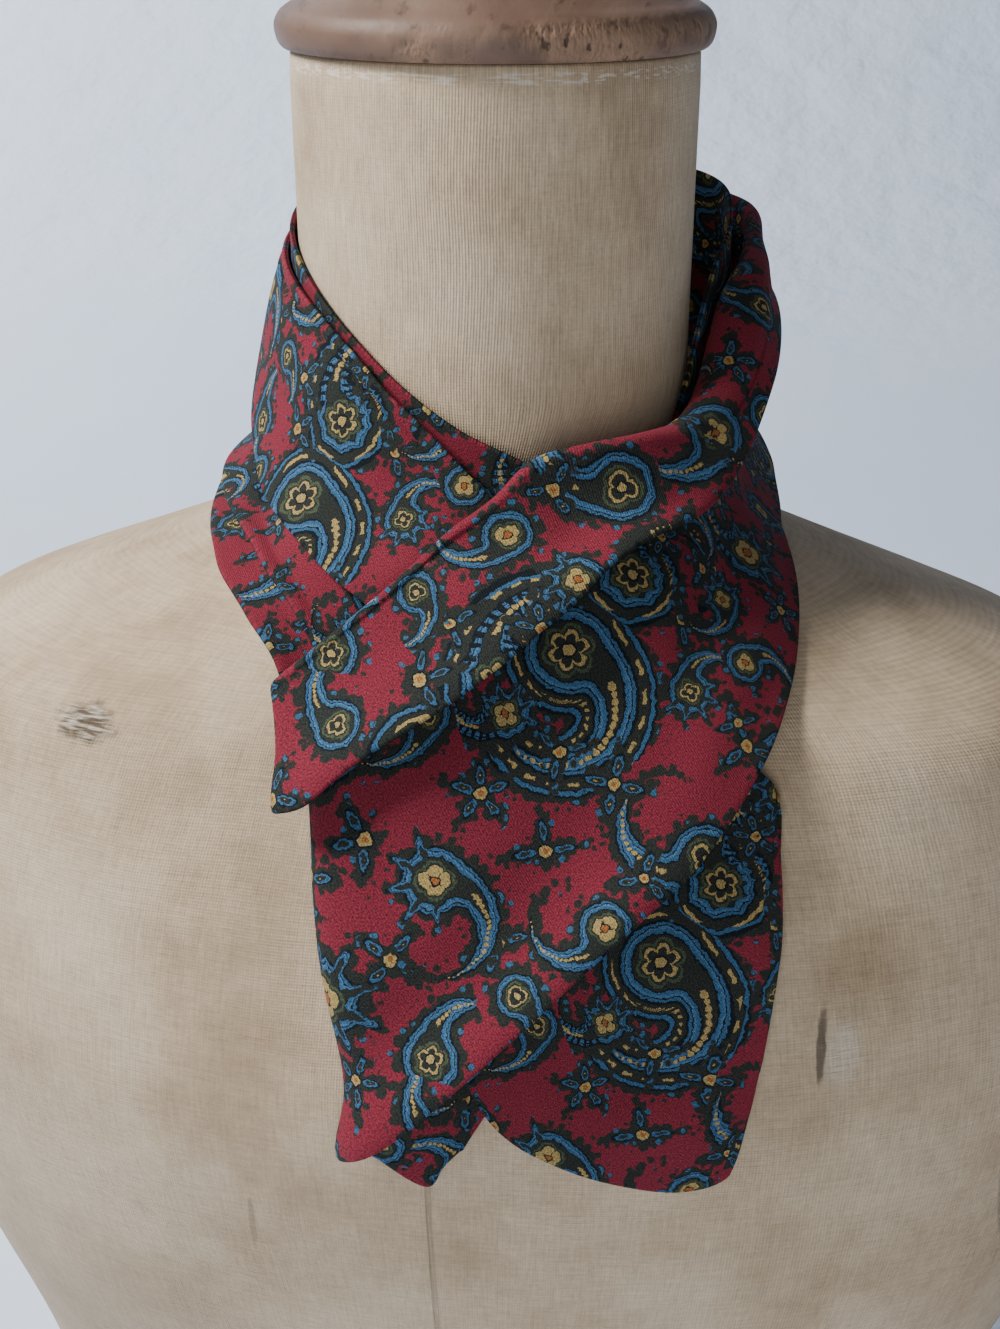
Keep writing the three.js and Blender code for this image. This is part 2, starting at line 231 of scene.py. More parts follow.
# %% [markdown]
# The linen torso
#
# On the real form, linen is drawn tight over padding and stitched in panels. It could be sculpted,
# but the surface is smooth, so it is one fine mesh of level rings, close together over the
# shoulders where it turns fastest. The stitched seams and the worn patches are a fraction of a
# millimetre deep, and are left to the linen's own finish.

# %% Torso and neck
def ring_heights():
    """Heights of the torso's rings: 6 mm apart, 1.6 mm over the shoulders, 8 mm up the neck."""
    body = np.arange(BOARD_TOP + 0.6, 306, 6.0)
    shoulders = np.arange(306, 412, 1.6)
    neck = np.arange(414, NECK_TOP - 2, 8.0)
    return np.concatenate([[BOARD_TOP + 0.3], body, shoulders, neck, [NECK_TOP - 1, NECK_TOP]])


def torso_out(turn, up):
    """The form's reach, drawn in by up to 1.2 mm where the linen turns under at foot and top."""
    tucked = np.maximum(1 - soft_step(up, BOARD_TOP, BOARD_TOP + 3),
                        soft_step(up, NECK_TOP - 2, NECK_TOP + 1))
    return form_out(turn, up, FORM_HOLLOW) - 1.2 * tucked


linen_torso = turned_body("linen_torso", ring_heights(), torso_out)
print("torso faces:", len(linen_torso.data.polygons))

# %% [markdown]
# The wooden cap and the board
#
# Both are turned or shaped wood with eased edges. The cap is a profile spun round the neck's
# axis, as on a lathe. The board follows the foot of the torso with a constant overhang. It could
# be a thick outline with a bevel, but the same ring helper makes it from a list of how far its
# edge stands out at each height.

# %% Cap and board
CAP = table("up out", (0.3, 60.0), (0.5, 61.2), (1.4, 62.4), (3.0, 63.3), (5.5, 63.9), (7.6, 63.9),
            (9.6, 63.1), (11.2, 61.9), (12.6, 60.0), (14.0, 57.6), (16.2, 54.6), (19.0, 50.6),
            (22.5, 45.6), (26.2, 39.0), (29.6, 31.0), (32.4, 22.0), (34.6, 12.0), (35.6, 5.0),
            (35.9, 1.5))
cap_rows = np.arange(len(CAP["up"]), dtype=float)
steps = np.linspace(0, cap_rows[-1], 76)
cap_up, cap_out = (curve_through(cap_rows, CAP[column], steps) for column in ("up", "out"))
neck_cap = turned_body("neck_cap", cap_up + NECK_TOP,
                       lambda turn, up: cap_out[:, None] + 0 * turn, turns=160)

BOARD = table("up stand", (0, 3.4), (0.8, 5.4), (2.5, 6.6), (5, 7), (15, 7), (17.5, 6.6),
              (19.2, 5.4), (20, 3.4))
foot = form_out(np.linspace(0, 360, 200, endpoint=False)[None, :], BOARD_TOP, FORM_HOLLOW)
base_board = turned_body("base_board", BOARD["up"],
                         lambda turn, up: foot + BOARD["stand"][:, None], turns=200)
print("cap and board faces:", len(neck_cap.data.polygons), len(base_board.data.polygons))

# %% [markdown]
# How a stretch of cloth lies
#
# A pleat that runs round the neck is a strip with an upper edge, its crest, and a lower edge, its
# hem. A few sections across it say where both edges are, and smooth curves run between them. The
# cloth in between follows the draped body, so it takes the form's roundness without being told.
# Simulating the cloth would also give folds, but not these folds: they were laid by hand, and
# they are what the picture shows.

# %% Section tables, one row for each section across the cloth
SECTION = "crest_turn crest_up crest_out hem_turn hem_up hem_out bow roll"
NECK_FOLD = table(
    SECTION,
    (26, 407, 68.5, 20, 388, 74.5, 0, 0), (12, 414.5, 64.3, 5, 392, 71, 0, 0),
    (0, 420.5, 62.5, -6, 398, 67, 0, 0), (-15, 430.5, 61.2, -20, 408, 62.5, 0, 0),
    (-36, 446, 60.4, -40, 424, 60.4, 0, 0), (-60, 460.5, 60.4, -64, 438, 60.4, 0, 0),
    (-85, 470.5, 60.8, -88, 446, 60.8, 0, 0), (-115, 477, 61.2, -116, 450, 61.2, 0, 0),
    (-150, 481, 62.5, -150, 452, 62.5, 0, 0), (-180, 482, 65.5, -180, 452, 65.5, 0, 0),
    (-210, 480.5, 74, -210, 451, 74, 0, 0), (-230, 476, 81.5, -230, 448, 81.5, 0, 0),
    (-245, 467, 75.5, -245, 440, 75.5, 0, 0), (-260, 455, 66, -260, 428, 66, 0, 0),
    (-275, 440, 62, -275, 412, 62.5, 0, 0), (-295, 416, 62, -295, 394, 66, 0, 0))
LEFT_BLADE = table(
    SECTION,
    (-179.8, 474, 70, -179.8, 446, 77, 0.5, 0), (-150, 473, 65.4, -150, 441, 74.5, 0.5, 0),
    (-115, 470, 63.6, -118, 432, 73, 1, 0), (-90, 464.5, 63.1, -92, 423, 72.8, 1.5, 0),
    (-69, 459, 62.9, -75, 414, 72.6, 2, 0), (-48, 451, 63, -60, 404.5, 74.2, 2.5, 0),
    (-31, 441, 64, -46, 397.5, 79, 3.5, 0), (-19, 430.5, 65, -31, 391, 86, 3.2, 0),
    (-6, 419, 66.5, -20, 383.5, 90.5, 1.6, 0), (8.4, 403, 71, -12, 377, 93.5, 1, 0),
    (18, 391, 76, -8, 362, 96, 2, 0), (27, 375, 84, -4, 338, 104, 2, 0),
    (34, 360, 98, -1, 308, 116, 2, 0), (39, 347, 114, 3, 275, 127, 2, 0),
    (42, 339, 123, 8, 245, 133, 2, 0), (43.6, 335, 128, 18, 229, 137, 3, 0),
    (44.8, 331.5, 131.5, 35, 217, 144, 3, 0))
LEFT_SECOND_FOLD = table(
    SECTION,
    (-179.8, 458, 70.5, -179.8, 418, 84, -1, 0), (-150, 454.5, 67.9, -150, 412, 82, -2.5, 0),
    (-120, 449, 65.8, -120, 404, 81, -3, 0), (-98, 440.5, 65, -100, 398, 82, -3.5, 0),
    (-80, 431, 64.8, -82, 394.5, 83.5, -3.2, 0), (-63, 419, 65.3, -68, 391, 83.5, -3, 0),
    (-50, 409, 67.8, -56, 389.5, 84.5, -2, 0), (-39, 401, 72.8, -45, 387, 87.5, -1, 0),
    (-30, 393, 78, -36.5, 382.5, 91.5, 0, 0), (-22, 386, 81.5, -29, 376.5, 94.5, 1, 0),
    (-14, 379, 84.5, -24, 370, 97, 1, 0), (-8, 371, 85.5, -20.5, 364, 99, 1, 0),
    (-4, 362, 87, -18.5, 356, 101, 1, 0))
LEFT_THIRD_FOLD = table(
    SECTION,
    (-179.8, 428, 73, -179.8, 404, 88.5, -1, 0), (-150, 424, 72, -150, 402, 87.5, -1, 0),
    (-120, 414, 70, -120, 396, 86, -1.5, 0), (-98, 407, 68.5, -98, 391.5, 85.5, -1.5, 0),
    (-80, 398.5, 71, -80, 386.5, 86, -1, 0), (-62, 391, 73.5, -60, 381, 90, -2, 0),
    (-50, 387.5, 75.5, -50, 376.5, 93.5, -2, 0), (-40, 384, 79.5, -42, 372, 95.5, -1, 0),
    (-33, 377.5, 82.5, -36.4, 367.6, 97.5, 0, 0), (-27, 370, 85.5, -31.5, 362.8, 99, 0, 0),
    (-22, 362, 88.5, -28.7, 358, 100, 0, 0), (-18, 354, 91, -26, 351, 102, 0, 0))
RIGHT_BLADE = table(
    SECTION,
    (179.8, 458, 70.5, 179.8, 404, 88.5, 0.5, 0), (150, 461, 77.5, 150, 402, 92, 2, 0),
    (130, 461, 84.2, 130, 398, 95, 3, 0), (115, 451, 79, 116, 391, 92, 3.5, 0),
    (104, 448, 79, 106, 386, 89, 6.5, 0), (92, 443, 77.5, 96, 382.5, 88, 6.5, 0),
    (80, 434, 76.5, 87, 381, 88.5, 6, 0), (70, 424.5, 76, 79, 379, 92.5, 4.5, 0),
    (60, 417, 77.5, 71, 374.5, 99, 4, 0), (50, 411, 80, 62, 367, 108, 4, 0),
    (40, 405, 82, 52, 354, 119.5, 4, 0), (28, 396, 85.5, 42, 339, 130.5, 4, 0),
    (18, 386, 91, 33, 318, 133, 3, 0), (8, 376, 96.5, 24, 301, 133, 3, 0),
    (-1, 365, 102, 13.7, 281, 134.5, 3, 0), (-9, 355, 107, 4, 259, 137, 3, 0),
    (-17, 345, 112, -4.3, 240, 140, 2, 0), (-19.5, 341, 106, -7.2, 232, 135.5, 0, 0),
    (-16.5, 338, 101, -6, 226, 132.4, 0, 0), (0, 330, 101, 0.3, 219.6, 131.4, 0, 0),
    (14, 322, 107.5, 2.5, 226, 130.5, 0, 0), (28, 318, 118.5, 4.8, 232, 131, 0, 0))
CROSSING_BAND = table(
    SECTION,
    (179.8, 474.5, 73, 179.8, 446, 77, 0.5, 1.6), (150, 472, 82.5, 150, 449, 86.5, 0.5, 1.8),
    (130, 467, 93.5, 130, 449.5, 96, 0, 2), (115, 460, 86, 115, 446.5, 88, 0, 2.6),
    (104, 454.5, 83.5, 104, 445, 86, 0, 4.5), (92, 447, 82.5, 92, 439, 85.5, 0, 7.2),
    (80, 437, 82.5, 80, 430, 86, 0, 8), (70, 427, 82.5, 70.5, 420, 86, 0, 7.5),
    (60, 420, 82, 62, 411, 87, 0, 6), (50, 418, 81.5, 55, 405, 87.5, 1, 4),
    (40, 419, 81.5, 46, 399, 89.5, 1, 2.5), (28, 418.5, 81, 36, 395, 92, 1, 1.8),
    (17, 415, 80.5, 27, 389, 96, 1, 1.6), (9, 405, 83.5, 19.5, 382, 100.5, 1, 1.6),
    (1, 397, 89, 12, 373, 105, 1, 1.6), (-5, 388, 95.5, 5, 362.5, 110, 1, 1.6),
    (-12, 377, 102, -2, 352.5, 115, 1, 1.6), (-18, 367, 107.5, -9.5, 342, 120, 1, 1.6),
    (-23.5, 357, 112.5, -16, 328, 127, 0, 1.6),
    (-24.6, 355, 108, -17.2, 326, 122.5, 0, 1.6))

sections_of_all = (NECK_FOLD, LEFT_BLADE, LEFT_SECOND_FOLD, LEFT_THIRD_FOLD, RIGHT_BLADE,
                   CROSSING_BAND)
print("sections of each strip:", [len(strip["bow"]) for strip in sections_of_all])

# %% [markdown]
# From sections to a sheet
#
# Between its sections a strip is stretched like canvas on ribs. It could be lofted straight from
# one to the next, but then it would cut through the shoulder. So only the distance from the body
# is shared out between crest and hem. Rows are crowded into both ends, where the edges turn.

# %% Laying a strip on the body
EDGE_ROWS = np.array([0.0, 0.004, 0.012, 0.025, 0.045, 0.07, 0.1, 0.14, 0.2, 0.27, 0.35])


def rolled_crest(top, turn, radius, steps=10):
    """The crest turned inwards: a half circle of `radius` over the top, then a short inner leaf.

    A point of the half circle is centre + radius * (cos a * outwards + sin a * up).
    """
    outwards = place(turn, 1, 0) - place(turn, 0, 0)
    upwards = np.array([0.0, 0.0, 1.0])
    radius = radius[:, None]
    centre = top - outwards * radius
    angle = np.linspace(pi, 0, steps, endpoint=False)
    arc = (centre[:, None] + radius[:, None] * (np.cos(angle)[None, :, None] * outwards[:, None]
                                                + np.sin(angle)[None, :, None] * upwards))
    fall = np.linspace(1, 0, 4, endpoint=False)[None, :, None]
    leaf = (centre[:, None] - outwards[:, None] * radius[:, None]
            - upwards * fall * (radius[:, None] + 2))
    return np.concatenate([leaf, arc], 1)


def cornered(rows, at, share, corner):
    """The share across the strip, drawn in at the corners of its last end.

    At a distance d from the end, less than the radius r, an edge comes in by r - sqrt(r^2 -
    (r - d)^2), as a rounded corner does.
    """
    middle = place((at["crest_turn"] + at["hem_turn"]) / 2, (at["crest_out"] + at["hem_out"]) / 2,
                   (at["crest_up"] + at["hem_up"]) / 2)
    step = np.linalg.norm(np.diff(middle, axis=0), axis=-1)
    to_end = np.append(np.cumsum(step[::-1])[::-1], 0)
    width = np.linalg.norm(place(at["crest_turn"], at["crest_out"], at["crest_up"])
                           - place(at["hem_turn"], at["hem_out"], at["hem_up"]), axis=-1)
    inset = [(r - np.sqrt(r**2 - np.clip(r - to_end, 0, r)**2)) / width for r in corner]
    return inset[0][:, None] + (1 - inset[0] - inset[1])[:, None] * share


def lay_strip(sections, per_row=14, across=40, corner=(0.01, 0.01)):
    """The middle surface of a strip: a grid of points in mm, rows along it, columns across it.

    Crest and hem run smoothly through the sections. At share t of the way down, turn and height
    are in proportion, and the point stands off the draped body by the same share between the
    crest's and the hem's stand-off, plus bow * 4t(1 - t). corner has the radii of the last
    end's corners at the crest and at the hem.
    """
    last = len(sections["bow"]) - 1
    inner = np.arange(1, last * per_row) / per_row
    rows = np.unique(np.concatenate([EDGE_ROWS, inner, last - EDGE_ROWS[::-1]]).round(6))
    index = np.arange(last + 1, dtype=float)
    at = {name: curve_through(index, column, rows) for name, column in sections.items()}
    crest_off = at["crest_out"] - form_out(at["crest_turn"], at["crest_up"], CLOTH_HOLLOW)
    hem_off = at["hem_out"] - form_out(at["hem_turn"], at["hem_up"], CLOTH_HOLLOW)
    t = cornered(rows, at, np.linspace(0, 1, across)[None, :], corner)
    share = {name: at["crest_" + name][:, None] * (1 - t) + at["hem_" + name][:, None] * t
             for name in ("turn", "up")}
    off = (crest_off[:, None] * (1 - t) + hem_off[:, None] * t
           + at["bow"][:, None] * 4 * t * (1 - t))
    out = form_out(share["turn"], share["up"], CLOTH_HOLLOW) + off
    face = place(share["turn"], out, share["up"])
    if sections["roll"].max() > 0:
        face = np.concatenate([rolled_crest(face[:, 0], at["crest_turn"], at["roll"]), face], 1)
    return face


def facing(sheet):
    """Unit normals of a grid, away from the neck: the step along it crossed with the one across."""
    normal = np.cross(np.gradient(sheet, axis=0), np.gradient(sheet, axis=1))
    away = (sheet - [0, NECK_AXIS_Y, 0]) * [1, 1, 0]
    sense = np.sign(np.median(np.sum(normal * away, axis=-1)))
    return sense * normal / np.linalg.norm(normal, axis=-1, keepdims=True)


def travelled(points):
    """The distance from the first point to each one along rows of points: a running sum."""
    steps = np.cumsum(np.linalg.norm(np.diff(points, axis=-2), axis=-1), axis=-1)
    return np.concatenate([np.zeros(steps.shape[:-1] + (1,)), steps], axis=-1)


print("left blade, mm along its crest:", travelled(lay_strip(LEFT_BLADE)[:, 0])[-1].round(1))

# %% [markdown]
# Soft folds
#
# A worn cloth is never quite even. Long shallow creases run out of the pleats, and the cloth
# swells between them. Noise alone would give crumpled paper. Each crease here is a line drawn on
# the strip, and pushes the cloth out or in beside it, most at its middle and fading at both ends.
# Where the cloth lies loose, its edge is lifted.

# %% Creases and unevenness
CREASE = "row_from across_from row_to across_to width depth"
LIFT = "share crest hem"
STIFF_RIM = 4               # mm
LIFT_WIDTH = 11             # mm


def folded(sheet, creases, unevenness, phase, lift=None):
    """The sheet, pushed along its normals by its creases and by a slow unevenness, in mm.

    A crease adds depth * exp(-(distance / width)^2) * sin(pi * share of its length)^0.6.
    A lift stands an edge off what it lies on, by lift * exp(-(distance to the edge / 11)^2).
    Distances are measured in mm along and across the cloth. The push is less within 4 mm of an
    edge, where the cloth is stiffened by its fold.
    """
    along = travelled(sheet[:, sheet.shape[1] // 2])[:, None]
    across = travelled(sheet)
    to_hem = across[:, -1:] - across
    push = unevenness * (np.sin(along / 17 + across / 29 + phase)
                         * np.sin(across / 13 - along / 41 + 2 * phase)
                         + 0.5 * np.sin(along / 9.1 - across / 12.3 + 3 * phase))
    share_along = (np.arange(sheet.shape[0]) / (sheet.shape[0] - 1))
    for r0, a0, r1, a1, width, depth in zip(*(creases[c] for c in CREASE.split())):
        start_x, end_x = (np.interp(r, share_along, along[:, 0]) for r in (r0, r1))
        start_y, end_y = (a * np.interp(r, share_along, across[:, -1])
                          for r, a in ((r0, a0), (r1, a1)))
        line = np.array([end_x - start_x, end_y - start_y])
        length = np.hypot(*line)
        share = ((along - start_x) * line[0] + (across - start_y) * line[1]) / length**2
        inside = np.clip(share, 0, 1)
        away = np.hypot(along - start_x - inside * line[0], across - start_y - inside * line[1])
        push = push + depth * np.exp(-(away / width)**2) * np.sin(pi * inside)**0.6
    rim = soft_step(across, 0, STIFF_RIM) * soft_step(to_hem, 0, STIFF_RIM)
    push = push * (0.25 + 0.75 * rim)
    if lift is not None:
        crest, hem = (curve_through(lift["share"], lift[edge], share_along)[:, None]
                      for edge in ("crest", "hem"))
        push = (push + crest * np.exp(-(across / LIFT_WIDTH)**2)
                + hem * np.exp(-(to_hem / LIFT_WIDTH)**2))
    return sheet + facing(sheet) * push[..., None]

# %% [markdown]
# Pressing the strip into a doubled cloth
#
# The blade is a tube of cloth pressed flat, so it has a folded lip along both long edges and a
# neat turned end. Solidify would give a wall with square edges, and here the edges are what shows.
# So the skin is worked out as one loop round the strip: the outer face, a round lip at the hem,
# the inner face, and a round lip at the crest.

# %% Doubled cloth
LIP_STEPS = 7
LIP_ANGLE = np.linspace(0, pi, LIP_STEPS + 2)[1:-1]


def unit(vectors):
    """Vectors divided by their own lengths."""
    return vectors / np.linalg.norm(vectors, axis=-1, keepdims=True)


def pressed_tube(sheet, thickness=1.5, edge=0.5, groove=0.0):
    """The closed skin of a doubled cloth round its middle surface.

    The faces are half the thickness to each side, and `edge` mm more at a fold, fading within
    3 mm. A lip is middle + half * (cos a * normal + sin a * outward), with a dent of `groove` in
    its middle where two layers meet. Towards both ends the half thickness falls as a quarter
    circle does, so that the ends are rounded too.
    """
    normal = facing(sheet)
    across = travelled(sheet)
    nearest = np.minimum(across, across[:, -1:] - across)
    half = (thickness + edge * np.exp(-(nearest / 2.2)**2)) / 2
    along = travelled(sheet[:, sheet.shape[1] // 2])
    to_end = np.minimum(along, along[-1] - along)
    end_round = np.sqrt(1 - (1 - np.clip(to_end / (thickness / 2), 0.02, 1))**2)
    half = half * end_round[:, None]
    dent = 1 - groove * np.exp(-((LIP_ANGLE - pi / 2) / 0.35)**2)

    def lip(column, towards, side):
        """The lip beside one edge column, away from the column that lies towards the middle."""
        out = unit(sheet[:, column] - sheet[:, towards])[:, None]
        n = side * normal[:, column][:, None]
        reach = (half[:, column][:, None] * dent[None, :])[..., None]
        return sheet[:, column][:, None] + reach * (np.cos(LIP_ANGLE)[None, :, None] * n
                                                    + np.sin(LIP_ANGLE)[None, :, None] * out)

    outer = sheet + normal * half[..., None]
    inner = sheet - normal * half[..., None]
    return np.concatenate([outer, lip(-1, -2, 1), inner[:, ::-1], lip(0, 1, -1)], 1)


def tube_faces(rows, columns):
    """Squares round the loops of a pressed tube, and faces over its two ends.

    An end is closed by a square between each two opposite points of the outer and the inner
    face, and by one face over each lip.
    """
    around = 2 * (columns + LIP_STEPS)
    faces = squares(rows, around, closed=True)
    j = np.arange(columns - 1)
    mirrored = 2 * columns + LIP_STEPS - 1
    for start, flip in ((0, 1), ((rows - 1) * around, -1)):
        faces += [f[::flip] for f in np.stack(
            [start + j + 1, start + j, start + mirrored - j, start + mirrored - j - 1],
            -1).tolist()]
        hem_lip = start + np.arange(columns - 1, columns + LIP_STEPS + 1)
        crest_lip = start + np.append(np.arange(mirrored, around), 0)
        faces += [hem_lip[::-flip].tolist(), crest_lip[::-flip].tolist()]
    return faces


print("faces of a tube of 3 x 4 points:", len(tube_faces(3, 4)))

# %% [markdown]
# The print follows the cloth
#
# The design was printed before the cloth was folded, so it must run along the strip and not
# through the body. Each strip is laid flat by Blender's own unwrapping, scaled to its real size,
# and the place on the flat cloth is kept in the mesh. A pattern read from the piece's place in
# space would be quicker, but it would shear wherever the cloth turns a corner.

# %% Laying the cloth flat
COARSE_ROWS, COARSE_COLUMNS = 90, 26


def flat_layout(sheet):
    """Where each point of the sheet lies on the flat cloth, in metres.

    A coarser copy of the grid is unwrapped with least stretch, scaled so that its flat area is
    its real area, and read back between its points.
    """
    step = (max(1, sheet.shape[0] // COARSE_ROWS), max(1, sheet.shape[1] // COARSE_COLUMNS))
    keep = [np.unique(np.append(np.arange(0, n, s), n - 1)) for n, s in zip(sheet.shape[:2], step)]
    coarse = sheet[np.ix_(*keep)]
    rows, columns = coarse.shape[:2]
    helper = put_mesh("flat_helper", coarse, squares(rows, columns))
    helper.data.uv_layers.new(name="flat")
    bpy.context.view_layer.objects.active = helper
    helper.select_set(True)
    bpy.ops.object.mode_set(mode="EDIT")
    bpy.ops.mesh.select_all(action="SELECT")
    bpy.ops.uv.unwrap(method="CONFORMAL", margin=0.0)
    bpy.ops.uv.select_all(action="SELECT")
    bpy.ops.uv.minimize_stretch(fill_holes=False, blend=0.0, iterations=120)
    bpy.ops.object.mode_set(mode="OBJECT")
    loops = np.empty(len(helper.data.loops), np.int32)
    helper.data.loops.foreach_get("vertex_index", loops)
    uv = np.empty(len(loops) * 2, np.float32)
    helper.data.uv_layers["flat"].uv.foreach_get("vector", uv)
    flat = np.zeros((rows * columns, 2))
    flat[loops] = uv.reshape(-1, 2)
    flat = flat.reshape(rows, columns, 2)
    real = sum(p.area for p in helper.data.polygons)
    bpy.data.objects.remove(helper)
    du, dv = flat[1:, :-1] - flat[:-1, :-1], flat[:-1, 1:] - flat[:-1, :-1]
    area = np.abs(du[..., 0] * dv[..., 1] - du[..., 1] * dv[..., 0]).sum()
    flat *= np.sqrt(real / area)
    for kept, count in zip(keep[::-1], sheet.shape[1::-1]):
        finer = [[np.interp(np.arange(count), kept, line) for line in flat[..., k]]
                 for k in (0, 1)]
        flat = np.stack(finer, -1).swapaxes(0, 1)
    return flat


def pinned(flat, sheet, at, to):
    """Turns and slides the flat layout so that the print lies as seen from the front.

    At the grid place `at` (shares along and across), the direction that runs to the right on the
    body becomes +x of the print and the one that runs up becomes +y, and the place itself gets
    the print coordinates `to`, in mm.
    """
    i = int(at[0] * (sheet.shape[0] - 1))
    j = int(at[1] * (sheet.shape[1] - 1))
    i2, j2 = min(i + 4, sheet.shape[0] - 1), min(j + 2, sheet.shape[1] - 1)
    body = np.stack([sheet[i2, j] - sheet[i, j], sheet[i, j2] - sheet[i, j]], 1) * MM
    print_steps = np.stack([flat[i2, j] - flat[i, j], flat[i, j2] - flat[i, j]], 1)
    to_print = print_steps @ np.linalg.pinv(body)
    right = to_print @ np.array([1.0, 0.0, 0.0])
    upward = to_print @ np.array([0.0, 0.0, 1.0])
    if right[0] * upward[1] - right[1] * upward[0] < 0:
        flat = flat * [1, -1]
        right = right * [1, -1]
    angle = -np.arctan2(right[1], right[0])
    spin = np.array([[np.cos(angle), -np.sin(angle)], [np.sin(angle), np.cos(angle)]])
    flat = flat @ spin.T
    return flat - flat[i, j] + np.array(to) * MM

# %% Doubled cloth as a mesh
def store(piece, name, kind, key, values):
    """Keeps an array in the mesh as an attribute, one entry for each point."""
    attribute = piece.data.attributes.new(name, kind, "POINT")
    attribute.data.foreach_set(key, values.astype(np.float32).ravel())


def cloth_piece(name, sheet, pin_at, pin_to, **thickness):
    """A stretch of doubled cloth as a mesh, and its flat width and length in metres.

    It keeps two attributes: `cloth`, each point's place on the flat cloth, and one for painted
    shade where the two layers of a lip meet, which is 1 in the middle of a lip and
    exp(-((a - pi / 2) / 0.42)^2) beside it.
    """
    rows, columns = sheet.shape[:2]
    piece = put_mesh(name, pressed_tube(sheet, **thickness), tube_faces(rows, columns))
    flat = pinned(flat_layout(sheet), sheet, pin_at, pin_to)
    lips = [np.repeat(flat[:, c:c + 1], LIP_STEPS, 1) for c in (columns - 1, 0)]
    laid = np.concatenate([flat, lips[0], flat[:, ::-1], lips[1]], 1)
    laid = np.concatenate([laid, np.zeros(laid.shape[:2] + (1,))], -1)
    store(piece, "cloth", "FLOAT_VECTOR", "vector", laid)
    # painted shade: the print is darkened in the middle of each lip, where the two layers meet
    painted_lip_shade_share = np.exp(-((LIP_ANGLE - pi / 2) / 0.42)**2)
    face = np.zeros(columns)
    store(piece, "painted_lip_shade", "FLOAT", "value",
          np.tile(np.concatenate([face, painted_lip_shade_share, face, painted_lip_shade_share]), rows))
    length = np.linalg.norm(np.diff(sheet[:, sheet.shape[1] // 2], axis=0), axis=-1).sum() * MM
    width = sum(p.area for p in piece.data.polygons) / 2 / length
    print(f"{name}: {len(piece.data.polygons)} faces, laid flat {length * 1000:.0f} x "
          f"{width * 1000:.0f} mm")
    return piece, (float(width), float(length))

# %% [markdown]
# The pieces of the cravat
#
# Each strip is laid, creased, and pressed into doubled cloth. The print is one continuous design
# on the cloth, so every strip is pinned to its own place on it, as a cutter lays pattern pieces.
# One long strip for the whole cravat would be truer still, but most of it is hidden in the pleats.

# %% Creases and lifted edges of each strip
NECK_CREASES = table(CREASE, (0.10, 0.55, 0.42, 0.55, 3, -0.9), (0.0, 0.9, 0.3, 0.7, 3, 0.5))
LEFT_CREASES = table(
    CREASE, (0.20, 0.065, 0.53, 0.075, 1.3, -1.3), (0.20, 0.11, 0.53, 0.12, 1.6, 0.5),
    (0.24, 0.75, 0.47, 0.45, 8, -1.2), (0.32, 0.38, 0.46, 0.24, 6, 0.8),
    (0.05, 0.3, 0.22, 0.6, 8, -1.2), (0.82, 0.25, 0.99, 0.42, 9, 1.5),
    (0.85, 0.85, 1.0, 0.72, 8, -1.2), (0.62, 0.5, 0.8, 0.6, 9, 1.0))
SECOND_CREASES = table(
    CREASE, (0.24, 0.45, 0.99, 0.50, 6, -2.6), (0.35, 0.86, 0.95, 0.90, 4, 0.9),
    (0.02, 0.5, 0.25, 0.5, 6, -1.0))
THIRD_CREASES = table(CREASE, (0.28, 0.45, 0.98, 0.45, 5, -1.6), (0.05, 0.5, 0.3, 0.4, 5, 0.7))
RIGHT_CREASES = table(
    CREASE, (0.30, 0.25, 0.56, 0.60, 8, -1.4), (0.38, 0.70, 0.62, 0.92, 8, 1.2),
    (0.50, 0.12, 0.80, 0.35, 9, 1.1), (0.56, 0.62, 0.84, 0.80, 10, -1.3),
    (0.02, 0.35, 0.24, 0.6, 9, -1.5), (0.10, 0.75, 0.30, 0.85, 8, 1.2))
BAND_CREASES = table(
    CREASE, (0.42, 0.62, 0.60, 0.80, 5, -0.9), (0.62, 0.55, 0.92, 0.72, 6, 0.9),
    (0.05, 0.6, 0.3, 0.7, 5, -0.7))
LEFT_LIFT = table(LIFT, (0, 0, 0), (0.2, 0, 0.8), (0.40, 0, 2.0), (0.48, 0, 0), (0.85, 0.6, 0.8),
                  (1, 1.2, 1.6))
RIGHT_LIFT = table(LIFT, (0, 0, 0), (0.38, 0, 0), (0.52, 0, 1.2), (0.62, 0, 7.2), (0.74, 0, 8.6),
                   (0.82, 0, 4.6), (0.88, 0, 0.6), (1, 0, 0))
BAND_LIFT = table(LIFT, (0, 0, 0), (0.3, 0, 0), (0.45, 0.2, 2.6), (0.6, 0.5, 6.2), (0.8, 1.0, 7.2),
                  (0.93, 1.0, 4.6), (1, 0.4, 2.0))
print("creases drawn:", sum(len(c["depth"]) for c in (
    NECK_CREASES, LEFT_CREASES, SECOND_CREASES, THIRD_CREASES, RIGHT_CREASES, BAND_CREASES)))

